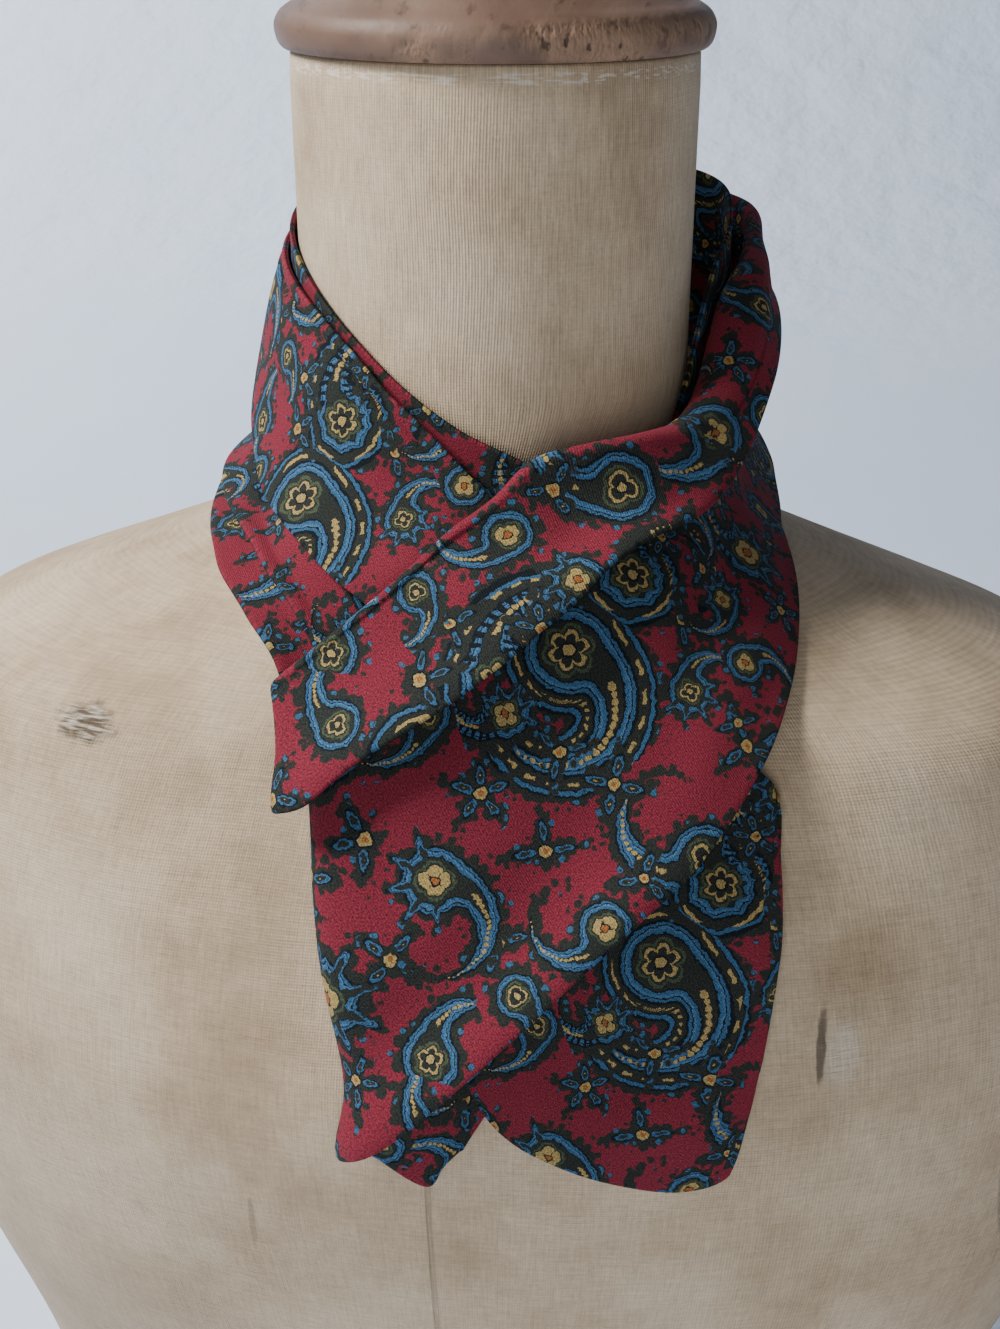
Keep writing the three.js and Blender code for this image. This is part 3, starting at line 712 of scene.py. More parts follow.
# %% Cravat pieces
pieces = {
    "neck_fold": cloth_piece(
        "cravat_neck_fold", folded(lay_strip(NECK_FOLD, across=20), NECK_CREASES, 0.12, 0.4),
        (0.2, 0.5), (20, 60), thickness=1.3, edge=0.3),
    "left_blade": cloth_piece(
        "cravat_left_blade", folded(lay_strip(LEFT_BLADE, across=60, corner=(4, 11)),
                                    LEFT_CREASES, 0.25, 1.3, LEFT_LIFT),
        (0.88, 0.5), (0, -3), groove=0.3),
    "left_second_fold": cloth_piece(
        "cravat_left_second_fold", folded(lay_strip(LEFT_SECOND_FOLD, across=26),
                                          SECOND_CREASES, 0.3, 2.1),
        (0.6, 0.5), (-40, 20), edge=0.8),
    "left_third_fold": cloth_piece(
        "cravat_left_third_fold", folded(lay_strip(LEFT_THIRD_FOLD, across=20),
                                         THIRD_CREASES, 0.3, 3.2),
        (0.6, 0.5), (50, -30), edge=0.8),
    "right_blade": cloth_piece(
        "cravat_right_blade", folded(lay_strip(RIGHT_BLADE), RIGHT_CREASES, 0.3, 0.9, RIGHT_LIFT),
        (0.6, 0.5), (2, -28), groove=0.25),
    "crossing_band": cloth_piece(
        "cravat_crossing_band", folded(lay_strip(CROSSING_BAND, across=24, corner=(5, 13)),
                                       BAND_CREASES, 0.15, 4.0, BAND_LIFT),
        (0.7, 0.6), (10, 52), thickness=1.4)}
print("cravat faces:", sum(len(p[0].data.polygons) for p in pieces.values()))

# %% [markdown]
# Building finishes from nodes
#
# A finish is a small sum worked out at every point of the surface. Blender's editor shows it as
# boxes joined by wires, and it could be laid out there by hand. Here a wire is a Value, and
# arithmetic on Values adds the boxes, so that a finish reads like a formula and can be corrected
# like one.

# %% Values that a shader works out
def sign(operation, turned_round=False):
    """What a sign between two values does: it adds one Math node."""
    def method(self, *other):
        return sums(operation, *((*other, self) if turned_round else (self, *other)))
    return method


class Value:
    """What one node puts out. Each of these signs on it adds a node and gives a new Value."""

    __add__ = __radd__ = sign("ADD")
    __mul__ = __rmul__ = sign("MULTIPLY")
    __sub__, __rsub__ = sign("SUBTRACT"), sign("SUBTRACT", turned_round=True)
    __truediv__, __rtruediv__ = sign("DIVIDE"), sign("DIVIDE", turned_round=True)
    __pow__, __lt__, __gt__ = sign("POWER"), sign("LESS_THAN"), sign("GREATER_THAN")
    __abs__ = sign("ABSOLUTE")

    def __init__(self, socket):
        self.socket = socket

    def __neg__(self):
        return self * -1.0


def feed(socket, value):
    """Links a Value to a socket, or writes a plain number, vector or colour into it."""
    if isinstance(value, Value):
        socket.id_data.links.new(value.socket, socket)
    elif socket.type == "RGBA":
        socket.default_value = (*value[:3], 1)
    else:
        socket.default_value = value


def feed_all(node, values):
    """Feeds a node's sockets by name, or by place where values isn't a dict."""
    if isinstance(values, dict):
        for name, value in values.items():
            feed(node.inputs[name], value)
    else:
        for socket, value in zip((s for s in node.inputs if s.enabled), values):
            feed(socket, value)


def new_node(kind, *values):
    """A node of a kind in the tree that the first Value among `values` comes from."""
    tree = next(v.socket.id_data for v in values if isinstance(v, Value))
    return tree.nodes.new("ShaderNode" + kind)


def sums(operation, *values):
    """One Math node with these inputs."""
    node = new_node("Math", *values)
    node.operation = operation
    feed_all(node, values)
    return Value(node.outputs[0])


def vectors(operation, *values):
    """One Vector Math node with these inputs; gives its vector, or its length."""
    node = new_node("VectorMath", *values)
    node.operation = operation
    feed_all(node, values)
    return Value(node.outputs["Value" if operation == "LENGTH" else "Vector"])

# %% Sums with names
def length_of(vector):
    """The length of a vector: the root of x^2 + y^2 + z^2."""
    return vectors("LENGTH", vector)


def sine(angle):
    """The sine of an angle in radians."""
    return sums("SINE", angle)


def cosine(angle):
    """The cosine of an angle in radians."""
    return sums("COSINE", angle)


def angle_of(rise, run):
    """The angle, from -pi to pi, whose tangent is rise / run."""
    return sums("ARCTAN2", rise, run)


def larger(a, b):
    """The larger of two values."""
    return sums("MAXIMUM", a, b)


def smaller(a, b):
    """The smaller of two values."""
    return sums("MINIMUM", a, b)


def near(value, middle, reach):
    """1 where the value is within reach of the middle, otherwise 0."""
    return sums("COMPARE", value, middle, reach)

# %% [markdown]
# Masks, mottles and colours
#
# Worn linen, grain and print all come down to a few moves: a soft edge between two heights, a
# patchy noise, a scale of colours, one colour laid over another. Each is one node behind a name
# that says what it does. An effect with several steps becomes a node group with named inputs,
# which is built once and placed wherever it is needed.

# %% Node helpers
def blend(share, below, above):
    """Colour `above` laid over `below` by a share from 0 to 1."""
    node = new_node("Mix", share, below, above)
    node.data_type = "RGBA"
    sockets = {s.identifier: s for s in (*node.inputs, *node.outputs)}
    for name, value in (("Factor_Float", share), ("A_Color", below), ("B_Color", above)):
        feed(sockets[name], value)
    return Value(sockets["Result_Color"])


def ramp(value, *stops, steps=False):
    """A colour ramp on a value from 0 to 1; steps makes its colours change without blending."""
    node = new_node("ValToRGB", value)
    node.color_ramp.interpolation = "CONSTANT" if steps else "LINEAR"
    marks = node.color_ramp.elements
    while len(marks) < len(stops):
        marks.new(0.5)
    for mark, (position, _) in zip(marks, stops):
        mark.position = position
    for mark, (_, colour) in zip(marks, stops):
        mark.color = (*colour, 1)
    feed(node.inputs["Fac"], value)
    return Value(node.outputs["Color"])


def between(value, low, high, to_low=0.0, to_high=1.0):
    """Smoothly from to_low at low to to_high at high."""
    node = new_node("MapRange", value)
    node.interpolation_type = "SMOOTHSTEP"
    feed_all(node, (value, low, high, to_low, to_high))
    return Value(node.outputs[0])


def mottle(vector, scale, detail=2.0, roughness=0.5, give="Fac"):
    """Noise from 0 to 1 at a scale in cycles a metre."""
    node = new_node("TexNoise", vector)
    feed_all(node, {"Vector": vector, "Scale": scale, "Detail": detail, "Roughness": roughness})
    return Value(node.outputs[give])


def apart(vector):
    """The x, y and z of a vector."""
    node = new_node("SeparateXYZ", vector)
    feed(node.inputs[0], vector)
    return [Value(socket) for socket in node.outputs]


def together(x, y, z=0.0):
    """A vector from its x, y and z."""
    node = new_node("CombineXYZ", x, y, z)
    feed_all(node, (x, y, z))
    return Value(node.outputs[0])


def new_group(name, inputs, outputs):
    """An empty shader node group. inputs: name, kind, default. outputs: name, kind."""
    kinds = {"number": "NodeSocketFloat", "vector": "NodeSocketVector",
             "colour": "NodeSocketColor"}
    group = bpy.data.node_groups.new(name, "ShaderNodeTree")
    for label, kind, default in inputs:
        socket = group.interface.new_socket(label, in_out="INPUT", socket_type=kinds[kind])
        if default is not None:
            socket.default_value = default
    for label, kind in outputs:
        group.interface.new_socket(label, in_out="OUTPUT", socket_type=kinds[kind])
    inside = group.nodes.new("NodeGroupInput").outputs
    outside = group.nodes.new("NodeGroupOutput").inputs
    return group, {label: Value(inside[label]) for label, _, _ in inputs}, outside


def placed(group, **values):
    """A copy of a group beside the Values that feed it by name; gives its outputs by name."""
    node = new_node("Group", *values.values())
    node.node_tree = group
    feed_all(node, {name.replace("_", " "): value for name, value in values.items()})
    return {label: Value(node.outputs[label]) for label in node.outputs.keys()}

# %% [markdown]
# The print: a teardrop with a curled tail
#
# Paisley is a teardrop whose tip curls over, drawn in nested bands with a flower in its bulb. It
# could be painted as an image, but an image has a fixed sharpness and somebody's drawing in it.
# Here a motif is worked out from its distance: a circle for the bulb, and a tail that narrows
# along an arc. Every band is a range of that distance, and so is the dark green round it.

# %% Print colours and repeat
CRIMSON = (0.150, 0.017, 0.029)
INK = (0.006, 0.009, 0.012)
BLUE = (0.028, 0.081, 0.155)
PALE_BLUE = (0.045, 0.112, 0.202)
GREEN = (0.018, 0.021, 0.018)
MOSS = (0.052, 0.070, 0.038)
OCHRE = (0.272, 0.196, 0.074)
RUST = (0.24, 0.085, 0.025)
REPEAT = (0.112, 0.128)     # width and height of the repeat, in metres
print("the print repeats every", REPEAT, "m")

# %% [markdown]
# Choosing a motif, then drawing it
#
# Drawing every motif at every point would be slow. Each motif has a territory, a circle, and a
# point belongs to the one in whose circle it lies deepest. So the print first passes along the
# list and keeps the best place and shape, and then draws only that one. Each link of that chain
# is this group: it takes what the links before it found, and lays its own motif over it if its
# own circle fits better.

# %% The choosing group
PICKED = (("Place", "vector", None), ("Pose", "vector", None), ("Style", "vector", None))
DRAWN = (("Colour", "colour"), ("Distance", "number"))

chooser, inside, outside = new_group(
    "choose motif", (("Cloth", "vector", None), ("Middle", "vector", None),
                     ("Head", "vector", None), ("Size", "number", 0.02),
                     ("Pose", "vector", None), ("Style", "vector", None),
                     ("Under Score", "number", 9.0), ("Under Place", "vector", None),
                     ("Under Pose", "vector", None), ("Under Style", "vector", None)),
    (("Score", "number"), ("Place", "vector"), ("Pose", "vector"), ("Style", "vector")))
half_repeat = (REPEAT[0] / 2, REPEAT[1] / 2, 1)
away = vectors("WRAP", vectors("SUBTRACT", inside["Cloth"], inside["Middle"]),
               half_repeat, [-side for side in half_repeat])
score = length_of(away) / inside["Size"]
better = score < inside["Under Score"]
feed(outside["Score"], smaller(score, inside["Under Score"]))
for label, own in (("Place", vectors("ADD", away, inside["Head"])), ("Pose", inside["Pose"]),
                   ("Style", inside["Style"])):
    feed(outside[label], blend(better, inside["Under " + label], own))
print("nodes in the choosing group:", len(chooser.nodes))

# %% [markdown]
# One teardrop
#
# Block printers build a teardrop up in layers, from the ground to the last dots, and so does this
# group. The distance `shape` is 0 at the outline. From it come the bands, a row of pearls outside,
# rungs and beads along the tail, and a flower in the bulb. A few numbers in `Style` make the
# teardrops differ: how far the tail reaches, the number of petals, and the kind of flower.

# %% The paisley group
BULB = 0.30                 # radius of the bulb, in lengths of the motif
TAIL = 0.25                 # half width of the tail at its root


def local_place(inside):
    """The point in the motif's own axes, in motif lengths: turned back, then divided."""
    turn, length, own = apart(inside["Pose"])
    turned = new_node("VectorRotate", turn)
    turned.rotation_type = "Z_AXIS"
    feed_all(turned, {"Vector": inside["Place"], "Angle": -turn})
    x, y, _ = apart(Value(turned.outputs[0]))
    return x / length, y / length, length, own


paisley, inside, outside = new_group("paisley", PICKED, DRAWN)
x, y, length, arc = local_place(inside)
reach, petals, kind = apart(inside["Style"])        # kind: 0 open flower, 1 filled; +2 with teeth
toothed = kind > 1.5
filled = kind - toothed * 2
radius = length_of(together(x, y))
around = angle_of(y, x)
side = arc - length_of(together(x - arc, y))                    # off the tail's centre line
run = sums("WRAP", angle_of(y, -(x - arc)), 1.5 * pi, -0.5 * pi) * arc      # along that line
spent = larger(run / reach, run / -TAIL)
half_width = (1 - larger(spent, 0) ** 0.8) * TAIL
tail = abs(side) - half_width
leafy = larger(cosine(around * 9), 0) ** 2                      # a crown of leaf tips
crown = leafy * between(y, 0.12, -0.08, 0, 0.13) * near(petals, 4, 0.5)
shape = sums("SMOOTH_MIN", radius - BULB - crown, tail, 0.10)

depth = shape / BULB + 1                                        # 0 in the bulb, 1 at the edge
frilled = abs(sine(around * 5 + run * 9)) * toothed * 0.10 + depth
field = ramp(frilled * 0.7, *((0.7 * at, colour) for at, colour in (
    (0.0, GREEN), (0.64, INK), (0.68, BLUE), (0.75, PALE_BLUE), (0.80, INK), (0.83, BLUE),
    (0.895, INK), (0.965, GREEN), (1.19, INK), (1.22, BLUE), (1.31, INK))), steps=True)
pearls = near(depth, 1.085, 0.04) * (sine(run * 75 + around * 9) > 0.1)
rungs = near(depth, 0.76, 0.13) * (sine(run * 95) < -0.1) * toothed * (run > 0.15)
to_bead = length_of(together((sums("PINGPONG", run, 0.05) - 0.025) * 0.9, side))
halfway = reach * 0.45
beads = (to_bead < half_width * 0.10 + 0.007) * near(run, halfway + 0.17, halfway - 0.17)
for mask, colour in ((pearls, OCHRE), (rungs, INK), (beads, OCHRE)):
    field = blend(mask, field, colour)

wave = abs(cosine(around * (petals * 0.5)))
petal = radius - (wave ** 0.7 * 0.050 + 0.070)                  # 0 at the flower's outline
field = blend(near(petal, 0.045, 0.012) * 0.75, field, MOSS)
flower = blend(filled, GREEN, OCHRE)
for mask, colour in ((wave < 0.22, INK), (near(petal, 0, 0.013), OCHRE), (radius < 0.050, INK),
                     (radius < 0.038, blend(filled, OCHRE, RUST))):
    flower = blend(mask, flower, colour)
feed(outside["Colour"], blend(petal < 0.013, field, flower))
second_ring = (petals > 5.5) * 0.11                             # only round the largest
feed(outside["Distance"], (shape - second_ring) * length)
print("nodes in the paisley group:", len(paisley.nodes))

# %% [markdown]
# Small leaf sprays and buds
#
# Between the teardrops, prints of this kind have little sprays: leaves set like petals round a
# bud. Each leaf could be a motif of its own, but then there would be four times as many. So one
# leaf is an ellipse, and the angle round the bud is folded so that it repeats.

# %% The spray group
spray, inside, outside = new_group("leaf spray", PICKED, DRAWN)
x, y, length, slim = local_place(inside)
leaves, fan, _ = apart(inside["Style"])             # fan: how far round the leaves go, in radians
radius = length_of(together(x, y))
around = angle_of(y, x)
half_turn = pi / leaves
fold = sums("WRAP", around, half_turn, -half_turn)
leaf_x, leaf_y = radius * cosine(fold) - 0.28, radius * sine(fold)
leaf = (length_of(together(leaf_x, leaf_y / slim)) - 0.22) * (slim + 0.3) + (abs(around) > fan)
bud = radius - 0.14
field = ramp(leaf * 6 + 1, (0.0, OCHRE), (0.12, GREEN), (0.46, BLUE), (0.71, INK), (0.9, GREEN),
             steps=True)
centre = ramp(bud * 7.2 + 1, (0.0, RUST), (0.28, OCHRE), (0.66, INK), (0.85, GREEN), steps=True)
feed(outside["Colour"], blend(bud < 0, field, centre))
feed(outside["Distance"], smaller(leaf, bud) * length)
print("nodes in the spray group:", len(spray.nodes))

# %% [markdown]
# The whole repeat
#
# Three lists are set out in one repeat: large teardrops, small ones, and sprays. Wherever one is
# near, the crimson ground turns dark green, and that surround ends in knobs and spikes. They
# come from a cell pattern that is added to the distance. Some cells hold a blue speck, as the
# printed foliage does.

# %% Where the motifs are, in mm and degrees
TEARDROP = "right up turn length arc reach petals kind"
LARGE = table(
    TEARDROP, (0, 0, -95, 41, 0.36, 1.75, 6, 0), (-52, -26, 182, 33, 0.50, 1.15, 5, 1),
    (-52, -86, 96, 36, 0.42, 1.25, 4, 3), (37, -51, 132, 31, 0.40, 1.35, 3, 0),
    (15, -106, 30, 35, 0.44, 1.45, 6, 2))
SMALL = table(
    TEARDROP, (-27, -58, -84, 27, 0.42, 1.45, 4, 1), (-33, -20, 188, 21, 0.55, 1.15, 3, 0),
    (-14, -18, 150, 22, 0.34, 1.30, 4, 3), (-27, -99, 12, 24, 0.45, 1.15, 5, 0),
    (13, -68, 172, 22, 0.40, 1.35, 3, 1), (31, -79, -70, 22, 0.42, 1.30, 4, 1),
    (-24, 12, 70, 22, 0.45, 1.25, 3, 0), (46, 22, 200, 21, 0.42, 1.20, 4, 1),
    (33, -8, 20, 21, 0.38, 1.30, 4, 0), (-62, 2, -35, 21, 0.40, 1.25, 3, 1),
    (-7, -84, 240, 18, 0.40, 1.30, 3, 0))
SPRAYS = table(
    "right up turn length slim leaves fan",
    (14, -33, 80, 17, 0.46, 4, 3.2), (-2, -50, 100, 17, 0.36, 4, 2.4),
    (-12, -72, 15, 16, 0.42, 3, 3.2), (-41, -3, 60, 16, 0.42, 5, 3.2),
    (-43, -50, 200, 17, 0.38, 5, 2.2), (-18, -37, 240, 15, 0.44, 5, 3.2),
    (48, -22, 100, 17, 0.42, 3, 3.2), (2, -92, 30, 15, 0.38, 4, 3.2),
    (-57, -60, 5, 17, 0.42, 4, 2.4), (52, -68, 75, 16, 0.40, 5, 3.2),
    (-36, -76, 55, 15, 0.42, 4, 3.2), (-4, 22, 20, 18, 0.36, 5, 2.2),
    (22, -56, 75, 14, 0.42, 3, 3.2), (30, 12, 10, 16, 0.40, 4, 2.4),
    (24, -92, 33, 14, 0.44, 5, 3.2), (-45, 22, 0, 15, 0.42, 5, 3.2),
    (0, -26, 260, 16, 0.32, 3, 2.2), (-66, -16, 20, 13, 0.40, 4, 3.2),
    (52, 2, 60, 14, 0.44, 5, 3.2), (38, -98, 0, 15, 0.40, 3, 3.2))
print("motifs in one repeat:", sum(len(m["up"]) for m in (LARGE, SMALL, SPRAYS)))

# %% The print group
def territory(row):
    """Middle, head place and size of a motif's circle, in metres.

    The circle holds points along the bulb and along the tail's arc, or along a spray's outline.
    """
    a = np.linspace(0, 2 * pi, 24)
    ring = np.stack([np.cos(a), np.sin(a)], -1)
    if "arc" in row:
        arc = row["arc"]
        sweep = np.linspace(0, row["reach"] / arc, 24)
        tail = np.stack([arc - arc * np.cos(sweep), arc * np.sin(sweep)], -1)
        points = np.concatenate([0.34 * ring, tail])
    else:
        points = 0.55 * ring
    turn = radians(row["turn"])
    points = points @ np.array([[np.cos(turn), np.sin(turn)], [-np.sin(turn), np.cos(turn)]])
    middle = (points.min(0) + points.max(0)) / 2
    size = np.linalg.norm(points - middle, axis=1).max()
    shift = np.append(middle, 0) * row["length"] * MM
    head = np.array([row["right"] * MM, row["up"] * MM, 0])
    return (head + shift).tolist(), shift.tolist(), size * row["length"] * MM


def drawn_layer(cloth_at, motifs, group):
    """The motif of a list that each point belongs to, drawn: its colour and its distance."""
    kept = {}
    for values in zip(*motifs.values()):
        row = dict(zip(motifs, (float(v) for v in values)))
        middle, head, size = territory(row)
        own, *style = ("arc", "reach", "petals", "kind") if "arc" in row \
            else ("slim", "leaves", "fan")
        chosen = placed(chooser, Cloth=cloth_at, Middle=middle, Head=head, Size=size,
                        Pose=(radians(row["turn"]), row["length"] * MM, row[own]),
                        Style=([row[k] for k in style] + [0.0])[:3], **kept)
        kept = {"Under_" + label: value for label, value in chosen.items()}
    return placed(group, **{label: chosen[label] for label, _, _ in PICKED})


printed, inside, outside = new_group("paisley print", (("Cloth", "vector", None),),
                                     (("Colour", "colour"),))
shake = vectors("SUBTRACT", mottle(inside["Cloth"], 380.0, 2.0, 0.75, "Color"), (0.5, 0.5, 0.5))
cloth_at = vectors("MULTIPLY_ADD", shake, (0.0021, 0.0021, 0.0), inside["Cloth"])
cells = new_node("TexVoronoi", cloth_at)
cells.voronoi_dimensions = "2D"
feed_all(cells, {"Vector": cloth_at, "Scale": 360.0, "Randomness": 0.85})
to_cell, cell_colour = (Value(cells.outputs[label]) for label in ("Distance", "Color"))
speck = (to_cell < 0.27) * (apart(cell_colour)[0] > 0.80)
knobs = to_cell * 0.0052 - 0.0040
design = CRIMSON
for motifs, group in ((LARGE, paisley), (SPRAYS, spray), (SMALL, paisley)):
    drawn = drawn_layer(cloth_at, motifs, group)
    off = drawn["Distance"]
    foliage = blend(speck * near(off, 0.0018, 0.0012), GREEN, BLUE)
    design = blend(between(off + knobs, 0.0004, -0.0004), design, foliage)
    design = blend(between(off, 0.0002, -0.0002), design, drawn["Colour"])
feed(outside["Colour"], design)
print("nodes in the print group:", len(printed.nodes))

# %% [markdown]
# Twill and linen weaves
#
# Twill shows as fine slanting ridges, plain linen as two sets of crossing threads of uneven
# thickness. Threads could be modelled, but there would be millions of them. So both weaves are
# worked out as heights for a Bump node and as a slight change of colour, at about the real thread
# spacing, so that they read as grain from a step away.

# %% Weave groups
twill, inside, outside = new_group(
    "twill grain", (("Cloth", "vector", None), ("Threads", "number", 1500.0)),
    (("Height", "number"), ("Shade", "number")))
x, y, _ = apart(inside["Cloth"])
ridge = sine((y * 0.6 + x) * inside["Threads"] * tau)
feed(outside["Height"], ridge * 0.3 + mottle(inside["Cloth"], 1400.0))
feed(outside["Shade"], mottle(inside["Cloth"], 2300.0, 1.0))

linen_weave, inside, outside = new_group(
    "linen weave", (("Round", "number", 0.0), ("Up", "number", 0.0),
                    ("Threads", "number", 1150.0), ("Slubs", "number", 0.42),
                    ("Ribs", "number", 0.5)),
    (("Height", "number"), ("Shade", "number")))
round_at, up_at, ribs = (inside[label] for label in ("Round", "Up", "Ribs"))
wander = mottle(together(round_at, up_at), 22.0, 0.0) * 0.004
warp = cosine((round_at + wander) * inside["Threads"] * tau) * ribs
weft = cosine((up_at + wander) * inside["Threads"] * tau) * (1 - ribs)
warp_slub = mottle(together(round_at * 11, up_at), 95.0, 1.0)
weft_slub = mottle(together(round_at, up_at * 11), 95.0, 1.0)
knots = mottle(together(round_at, up_at), 850.0, 2.0, 0.6)
slubs = ((warp_slub * ribs + weft_slub * (1 - ribs)) * 2 + knots * 1.10) * inside["Slubs"]
feed(outside["Height"], warp + weft + slubs * 3)
feed(outside["Shade"], slubs + (warp + weft) * 0.10)
print("nodes in the weaves:", len(twill.nodes), len(linen_weave.nodes))

# %% [markdown]
# The cravat's cloth
#
# Fine worsted or silk twill takes light softly, with a faint bloom at grazing angles. The print
# sits in the threads, so the colour changes slightly from thread to thread and the surface stays
# equally matt on every colour. A coat or a gloss map would make it look like plastic.

# %% Cravat material
def material(name, roughness, **settings):
    """A material with its Principled BSDF; plain numbers go straight to the shader's sockets."""
    made = bpy.data.materials.new(name)
    made.use_nodes = True
    shader = made.node_tree.nodes["Principled BSDF"]
    shader.inputs["Roughness"].default_value = roughness
    for label, value in settings.items():
        shader.inputs[label.replace("_", " ")].default_value = value
    return made, shader.inputs


def object_place(made):
    """The point's place on the piece, in metres, for a material."""
    return Value(made.node_tree.nodes.new("ShaderNodeTexCoord").outputs["Object"])


def stored(made, name, kind):
    """An attribute of the mesh, for a material."""
    node = made.node_tree.nodes.new("ShaderNodeAttribute")
    node.attribute_name = name
    return Value(node.outputs[kind])


def bump(height, distance, strength):
    """A normal tilted by the slope of a height, whose 1 stands for `distance` in metres."""
    node = new_node("Bump", height)
    feed_all(node, {"Height": height, "Distance": distance, "Strength": strength})
    return Value(node.outputs["Normal"])


cravat_cloth, shader = material("cravat_cloth", 0.82, Sheen_Weight=0.02, Sheen_Roughness=0.4,
                                Specular_IOR_Level=0.09)
cloth_at = stored(cravat_cloth, "cloth", "Vector")
grain = placed(twill, Cloth=cloth_at)
shade = (grain["Shade"] * 2.3 - 0.18) * (mottle(cloth_at, 38.0, 3.0) * 0.3 + 0.98)
# painted shade: the colour is darkened by up to 0.88 in the middle of each lip, where two layers
# meet
shade = shade * (1 - stored(cravat_cloth, "painted_lip_shade", "Fac") * 0.88)
feed(shader["Base Color"], vectors("SCALE", placed(printed, Cloth=cloth_at)["Colour"], shade))
feed(shader["Normal"], bump(grain["Height"], 0.00016, 0.8))
print("made", cravat_cloth.name)

# %% [markdown]
# Linen and the marks of use
#
# The form's linen is natural, unbleached, and a little stained, with a torn patch and a slit that
# show the padding's threads. Its seams are narrow grooves. They could be cut into the mesh, but
# they are less than half a millimetre deep, so they are drawn in the finish from the surface's
# own place.

# %% Linen material
linen, shader = material("natural_linen", 0.92, Sheen_Weight=0.08, Sheen_Roughness=0.5,
                         Specular_IOR_Level=0.2)
at = object_place(linen)
x, y, z = apart(at)
turn = angle_of(x, -(y - NECK_AXIS_Y * MM))
on_chest = between(z, 0.43, 0.36)
weave = placed(linen_weave, Ribs=0.78 - on_chest * 0.28, Round=turn * (on_chest * 0.08 + 0.06),
               Up=z)
stain = mottle(at, 14.0, 4.0, 0.62)
spots = mottle(at, 60.0, 2.0, 0.6)
base = ramp(stain, (0.30, (0.33, 0.240, 0.150)), (0.48, (0.46, 0.355, 0.240)),
            (0.70, (0.56, 0.450, 0.325)))
base = blend(between(spots, 0.64, 0.80, 0, 0.5), base, (0.36, 0.30, 0.22))
# painted shade: the linen is darker towards the bottom, reaching higher on the left
painted_shade_low_side = between(x + z, 0.12, -0.04, 0, 0.6)                      # low on one side
base = blend(painted_shade_low_side, base, (0.33, 0.262, 0.185))
ragged = mottle(at, 260.0) * 0.9 - 0.45


def mark(centre, size, edge=0.35):
    """1 inside a ragged ellipse round a place on the body, in metres, and 0 outside it."""
    node = new_node("Mapping", at)
    node.vector_type = "TEXTURE"
    feed_all(node, {"Vector": at, "Location": centre, "Scale": size})
    return between(length_of(Value(node.outputs[0])) + ragged, 1 + edge, 1 - edge)


patch = mark((-0.1078, -0.0705, 0.3353), (0.0095, 0.009, 0.0052))
slit = mark((0.1092, -0.0917, 0.2595), (0.0012, 0.012, 0.0115))
snag = mark((0.1150, -0.0900, 0.2570), (0.0045, 0.012, 0.0080), 0.6)
scratch = mark((-0.0550, -0.1020, 0.1920), (0.0010, 0.02, 0.0100))
frayed = mottle(together(x * 0.22, y, z * 3), 420.0, 1.0, 0.6)
arm_ring = length_of(together((y - 0.020) / 0.080, (z - 0.230) / 0.108))
at_side = between(abs(x), 0.11, 0.13)
in_arm = between(arm_ring, 1.01, 0.99) * at_side
arm_edge = between(abs((arm_ring - 1) * 0.09), 0.0016, 0.0004) * at_side
seam_front = between(abs(x), 0.0011, 0.0003) * between(z, 0.40, 0.37)
seams = larger(seam_front, arm_edge)
under_cap = between(abs(z - 0.5165), 0.0022, 0.0008) * between(frayed, 0.50, 0.62)
padding = ramp(frayed, (0.42, (0.075, 0.052, 0.034)), (0.54, (0.26, 0.215, 0.165)),
               (0.68, (0.50, 0.455, 0.38)))
for mask, colour in ((in_arm * 0.30, (0.36, 0.28, 0.20)), (patch * 0.9, padding),
                     (snag * 0.35, (0.60, 0.56, 0.49)),
                     (larger(slit, scratch * 0.4) * 0.85, (0.10, 0.075, 0.055)),
                     (under_cap * 0.6, (0.62, 0.57, 0.50)), (seams * 0.40, (0.20, 0.15, 0.10))):
    base = blend(mask, base, colour)
feed(shader["Base Color"], vectors("SCALE", base, weave["Shade"] * 0.85 + 0.44))
relief = weave["Height"] * 0.15 - larger(slit, seams) * 1.5 \
    + larger(patch, snag * 0.4) * (frayed * 2.6)
feed(shader["Normal"], bump(relief, 0.0005, 0.8))
print("made", linen.name)

# %% [markdown]
# Turned wood
#
# The cap is stained wood rubbed smooth by hands: brown with a soft polish, and fine dark checks
# that run with the grain. An image of wood would run out at the edges. The grain here is noise
# drawn out along one direction of the block, so it runs through the wood, as real grain does.

# %% Wood material
wood, shader = material("worn_stained_wood", 0.5, Specular_IOR_Level=0.28)
at = object_place(wood)
x, y, z = apart(at)
along_grain = together(x, y * 0.09, z)
grain_lines = mottle(along_grain, 210.0, 5.0, 0.62)
figure = mottle(along_grain, 26.0, 3.0)
rubbed = mottle(at, 34.0, 4.0, 0.6)
rim = between(z, 0.5330, 0.5280) * between(z, 0.5150, 0.5190) \
    * between(x, -0.030, -0.012)                                # rubbed on one side most
edge_wear = rim * between(mottle(at, 22.0, 3.0, 0.6), 0.38, 0.58)
pitted = mottle(together(x, y, z * 0.55), 330.0, 2.0, 0.6)
pits = edge_wear * between(pitted, 0.57, 0.66)
base = ramp(figure, (0.3, (0.096, 0.056, 0.040)), (0.55, (0.165, 0.103, 0.074)),
            (0.8, (0.235, 0.157, 0.118)))
for mask, colour in ((between(grain_lines, 0.56, 0.72, 0, 0.7), (0.05, 0.026, 0.02)),
                     (edge_wear * 0.70, (0.33, 0.205, 0.130)),
                     (pits * 0.85, (0.045, 0.026, 0.018)),
                     (between(rubbed, 0.60, 0.85, 0, 0.3), (0.24, 0.165, 0.130))):
    base = blend(mask, base, colour)
feed(shader["Base Color"], base)
feed(shader["Roughness"], edge_wear * 0.3 + between(rubbed, 0.3, 0.8, 0.46, 0.62))
carved = grain_lines * 0.5 - edge_wear * (pitted * 4)
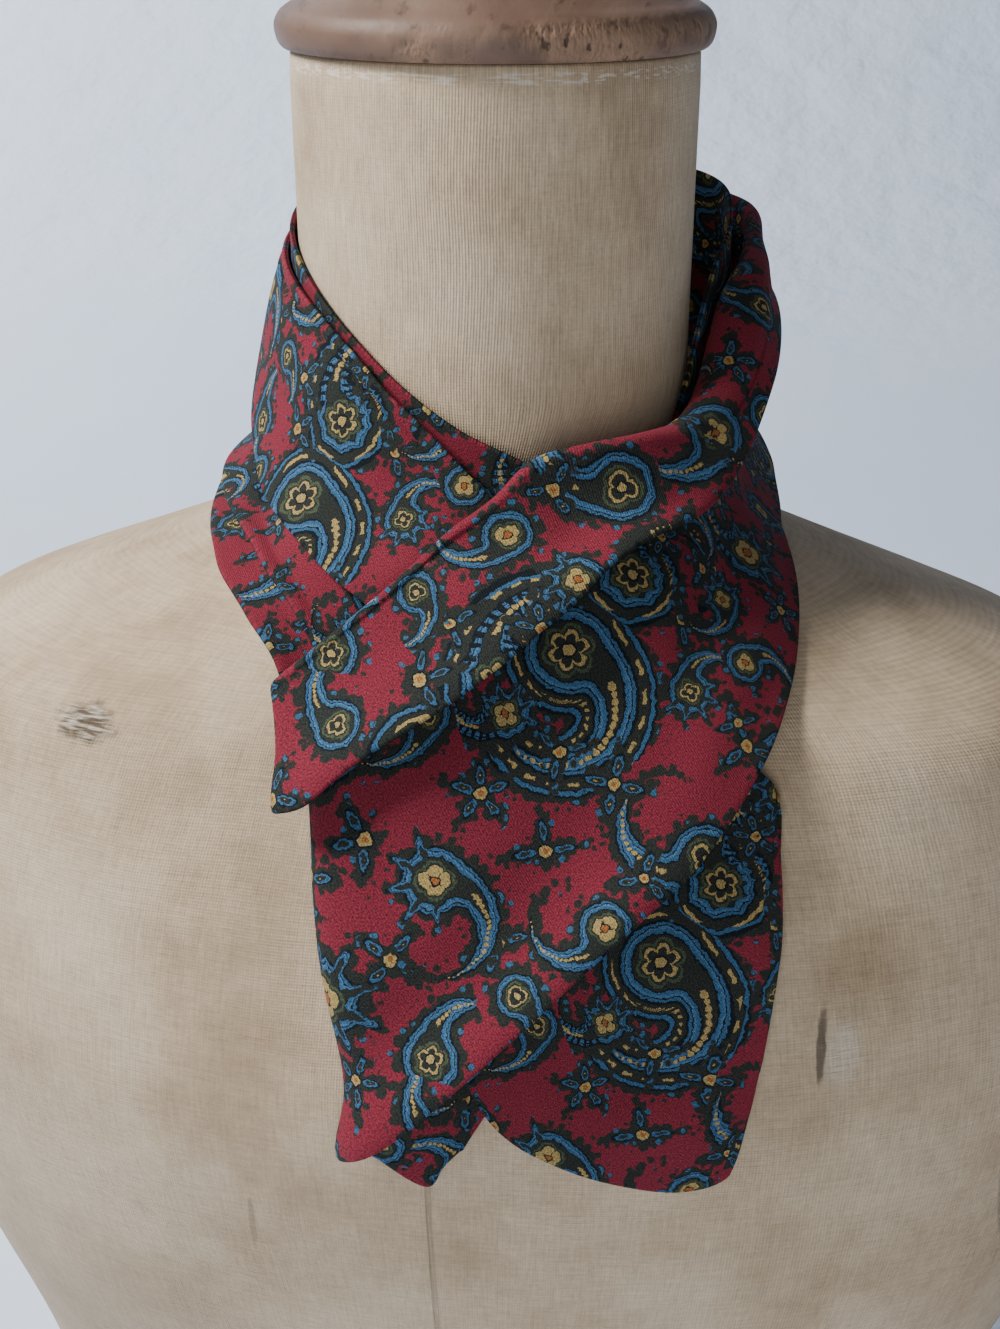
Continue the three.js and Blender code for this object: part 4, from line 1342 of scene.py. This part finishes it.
feed(shader["Normal"], bump(carved, 0.0006, 0.7))
print("made", wood.name)

# %% [markdown]
# Dressing the pieces
#
# Each piece gets its finish and the moving body that it rides on, and the solid that it stands
# for is hidden. That could be typed in piece by piece, but what all pieces have in common is said
# once, in a loop.

# %% Dress the pieces
for piece, finish, slot, node in ((linen_torso, linen, "linen", "form_torso"),
                                  (neck_cap, wood, "wood", "form_neck_cap"),
                                  (base_board, wood, "wood", "form_base_board")):
    piece.data.materials.append(finish)
    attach(piece, "root")
    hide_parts(node)

for node, (piece, flat_size) in pieces.items():
    piece.data.materials.append(cravat_cloth)
    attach(piece, "root")
    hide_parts(node)
print("pieces dressed:", 3 + len(pieces))

# %% [markdown]
# Floor and wall
#
# A pale floor runs up into a pale wall in one sweep, so that no line crosses behind the form, as
# it would with a plane for each. The wall is slightly uneven plaster, and stands far enough back
# for the form to be seen from behind too.

# %% Studio
def swept_backdrop(name, floor_from=-5.0, wall_at=2.6, bend=1.2, half_width=4.0, height=3.2):
    """A floor that turns up into a wall: a straight line, a quarter circle, a straight line."""
    a = np.linspace(0, pi / 2, 24)
    y = np.concatenate([[floor_from], wall_at - bend + bend * np.sin(a), [wall_at]])
    z = np.concatenate([[0], bend - bend * np.cos(a), [height]])
    x = np.linspace(-half_width, half_width, 3)
    grid = np.stack(np.broadcast_arrays(x[None, :], y[:, None], z[:, None]), -1)
    mesh = bpy.data.meshes.new(name)
    mesh.from_pydata(grid.reshape(-1, 3).tolist(), [], squares(len(y), len(x)))
    mesh.shade_smooth()
    return add_object(name, mesh)


backdrop = swept_backdrop("studio_backdrop")
plaster, shader = material("pale_plaster", 0.9, Specular_IOR_Level=0.2)
at = object_place(plaster)
feed(shader["Base Color"], ramp(mottle(at, 3.0, 3.0), (0.3, (0.72, 0.81, 0.95)),
                                (0.7, (0.78, 0.86, 0.99))))
trowelled = mottle(at, 11.0, 4.0, 0.58) * between(apart(at)[2], 0.0, 0.15)
feed(shader["Normal"], bump(trowelled, 0.022, 0.7))
backdrop.data.materials.append(plaster)
print("backdrop made")

# %% [markdown]
# Light
#
# One soft light stands to the left and in front, as a window does. A wide weak one from the
# front keeps the shadows on the right open, and a third washes the wall. A dim bluish world does
# what the rest of a pale room would do. Sharp lamps would cut hard edges into the cloth's shade.

# %% Lights
def soft_light(name, place_at, aim, size, watts, colour):
    """A square area light that faces a point."""
    lamp = bpy.data.lights.new(name, "AREA")
    lamp.shape = "SQUARE"
    lamp.size = size
    lamp.energy = watts
    lamp.color = colour
    made = add_object(name, lamp)
    made.location = place_at
    made.rotation_euler = (Vector(aim) - Vector(place_at)).to_track_quat("-Z", "Y").to_euler()


soft_light("window_left", (-0.93, -0.33, 1.42), (0, 0, 0.40), 0.40, 41.0, (1.0, 0.985, 0.96))
soft_light("fill_front", (0.15, -1.9, 0.45), (0.0, 0, 0.18), 1.0, 13.0, (1.0, 0.98, 0.95))
soft_light("wall_wash", (-1.7, 1.2, 1.7), (-1.2, 2.6, 0.6), 0.7, 52.0, (0.94, 0.97, 1.0))
world = bpy.data.worlds.new("studio_air")
world.use_nodes = True
air = world.node_tree.nodes["Background"].inputs
air["Color"].default_value = (0.80, 0.87, 1.0, 1)
air["Strength"].default_value = 0.13
bpy.context.scene.world = world
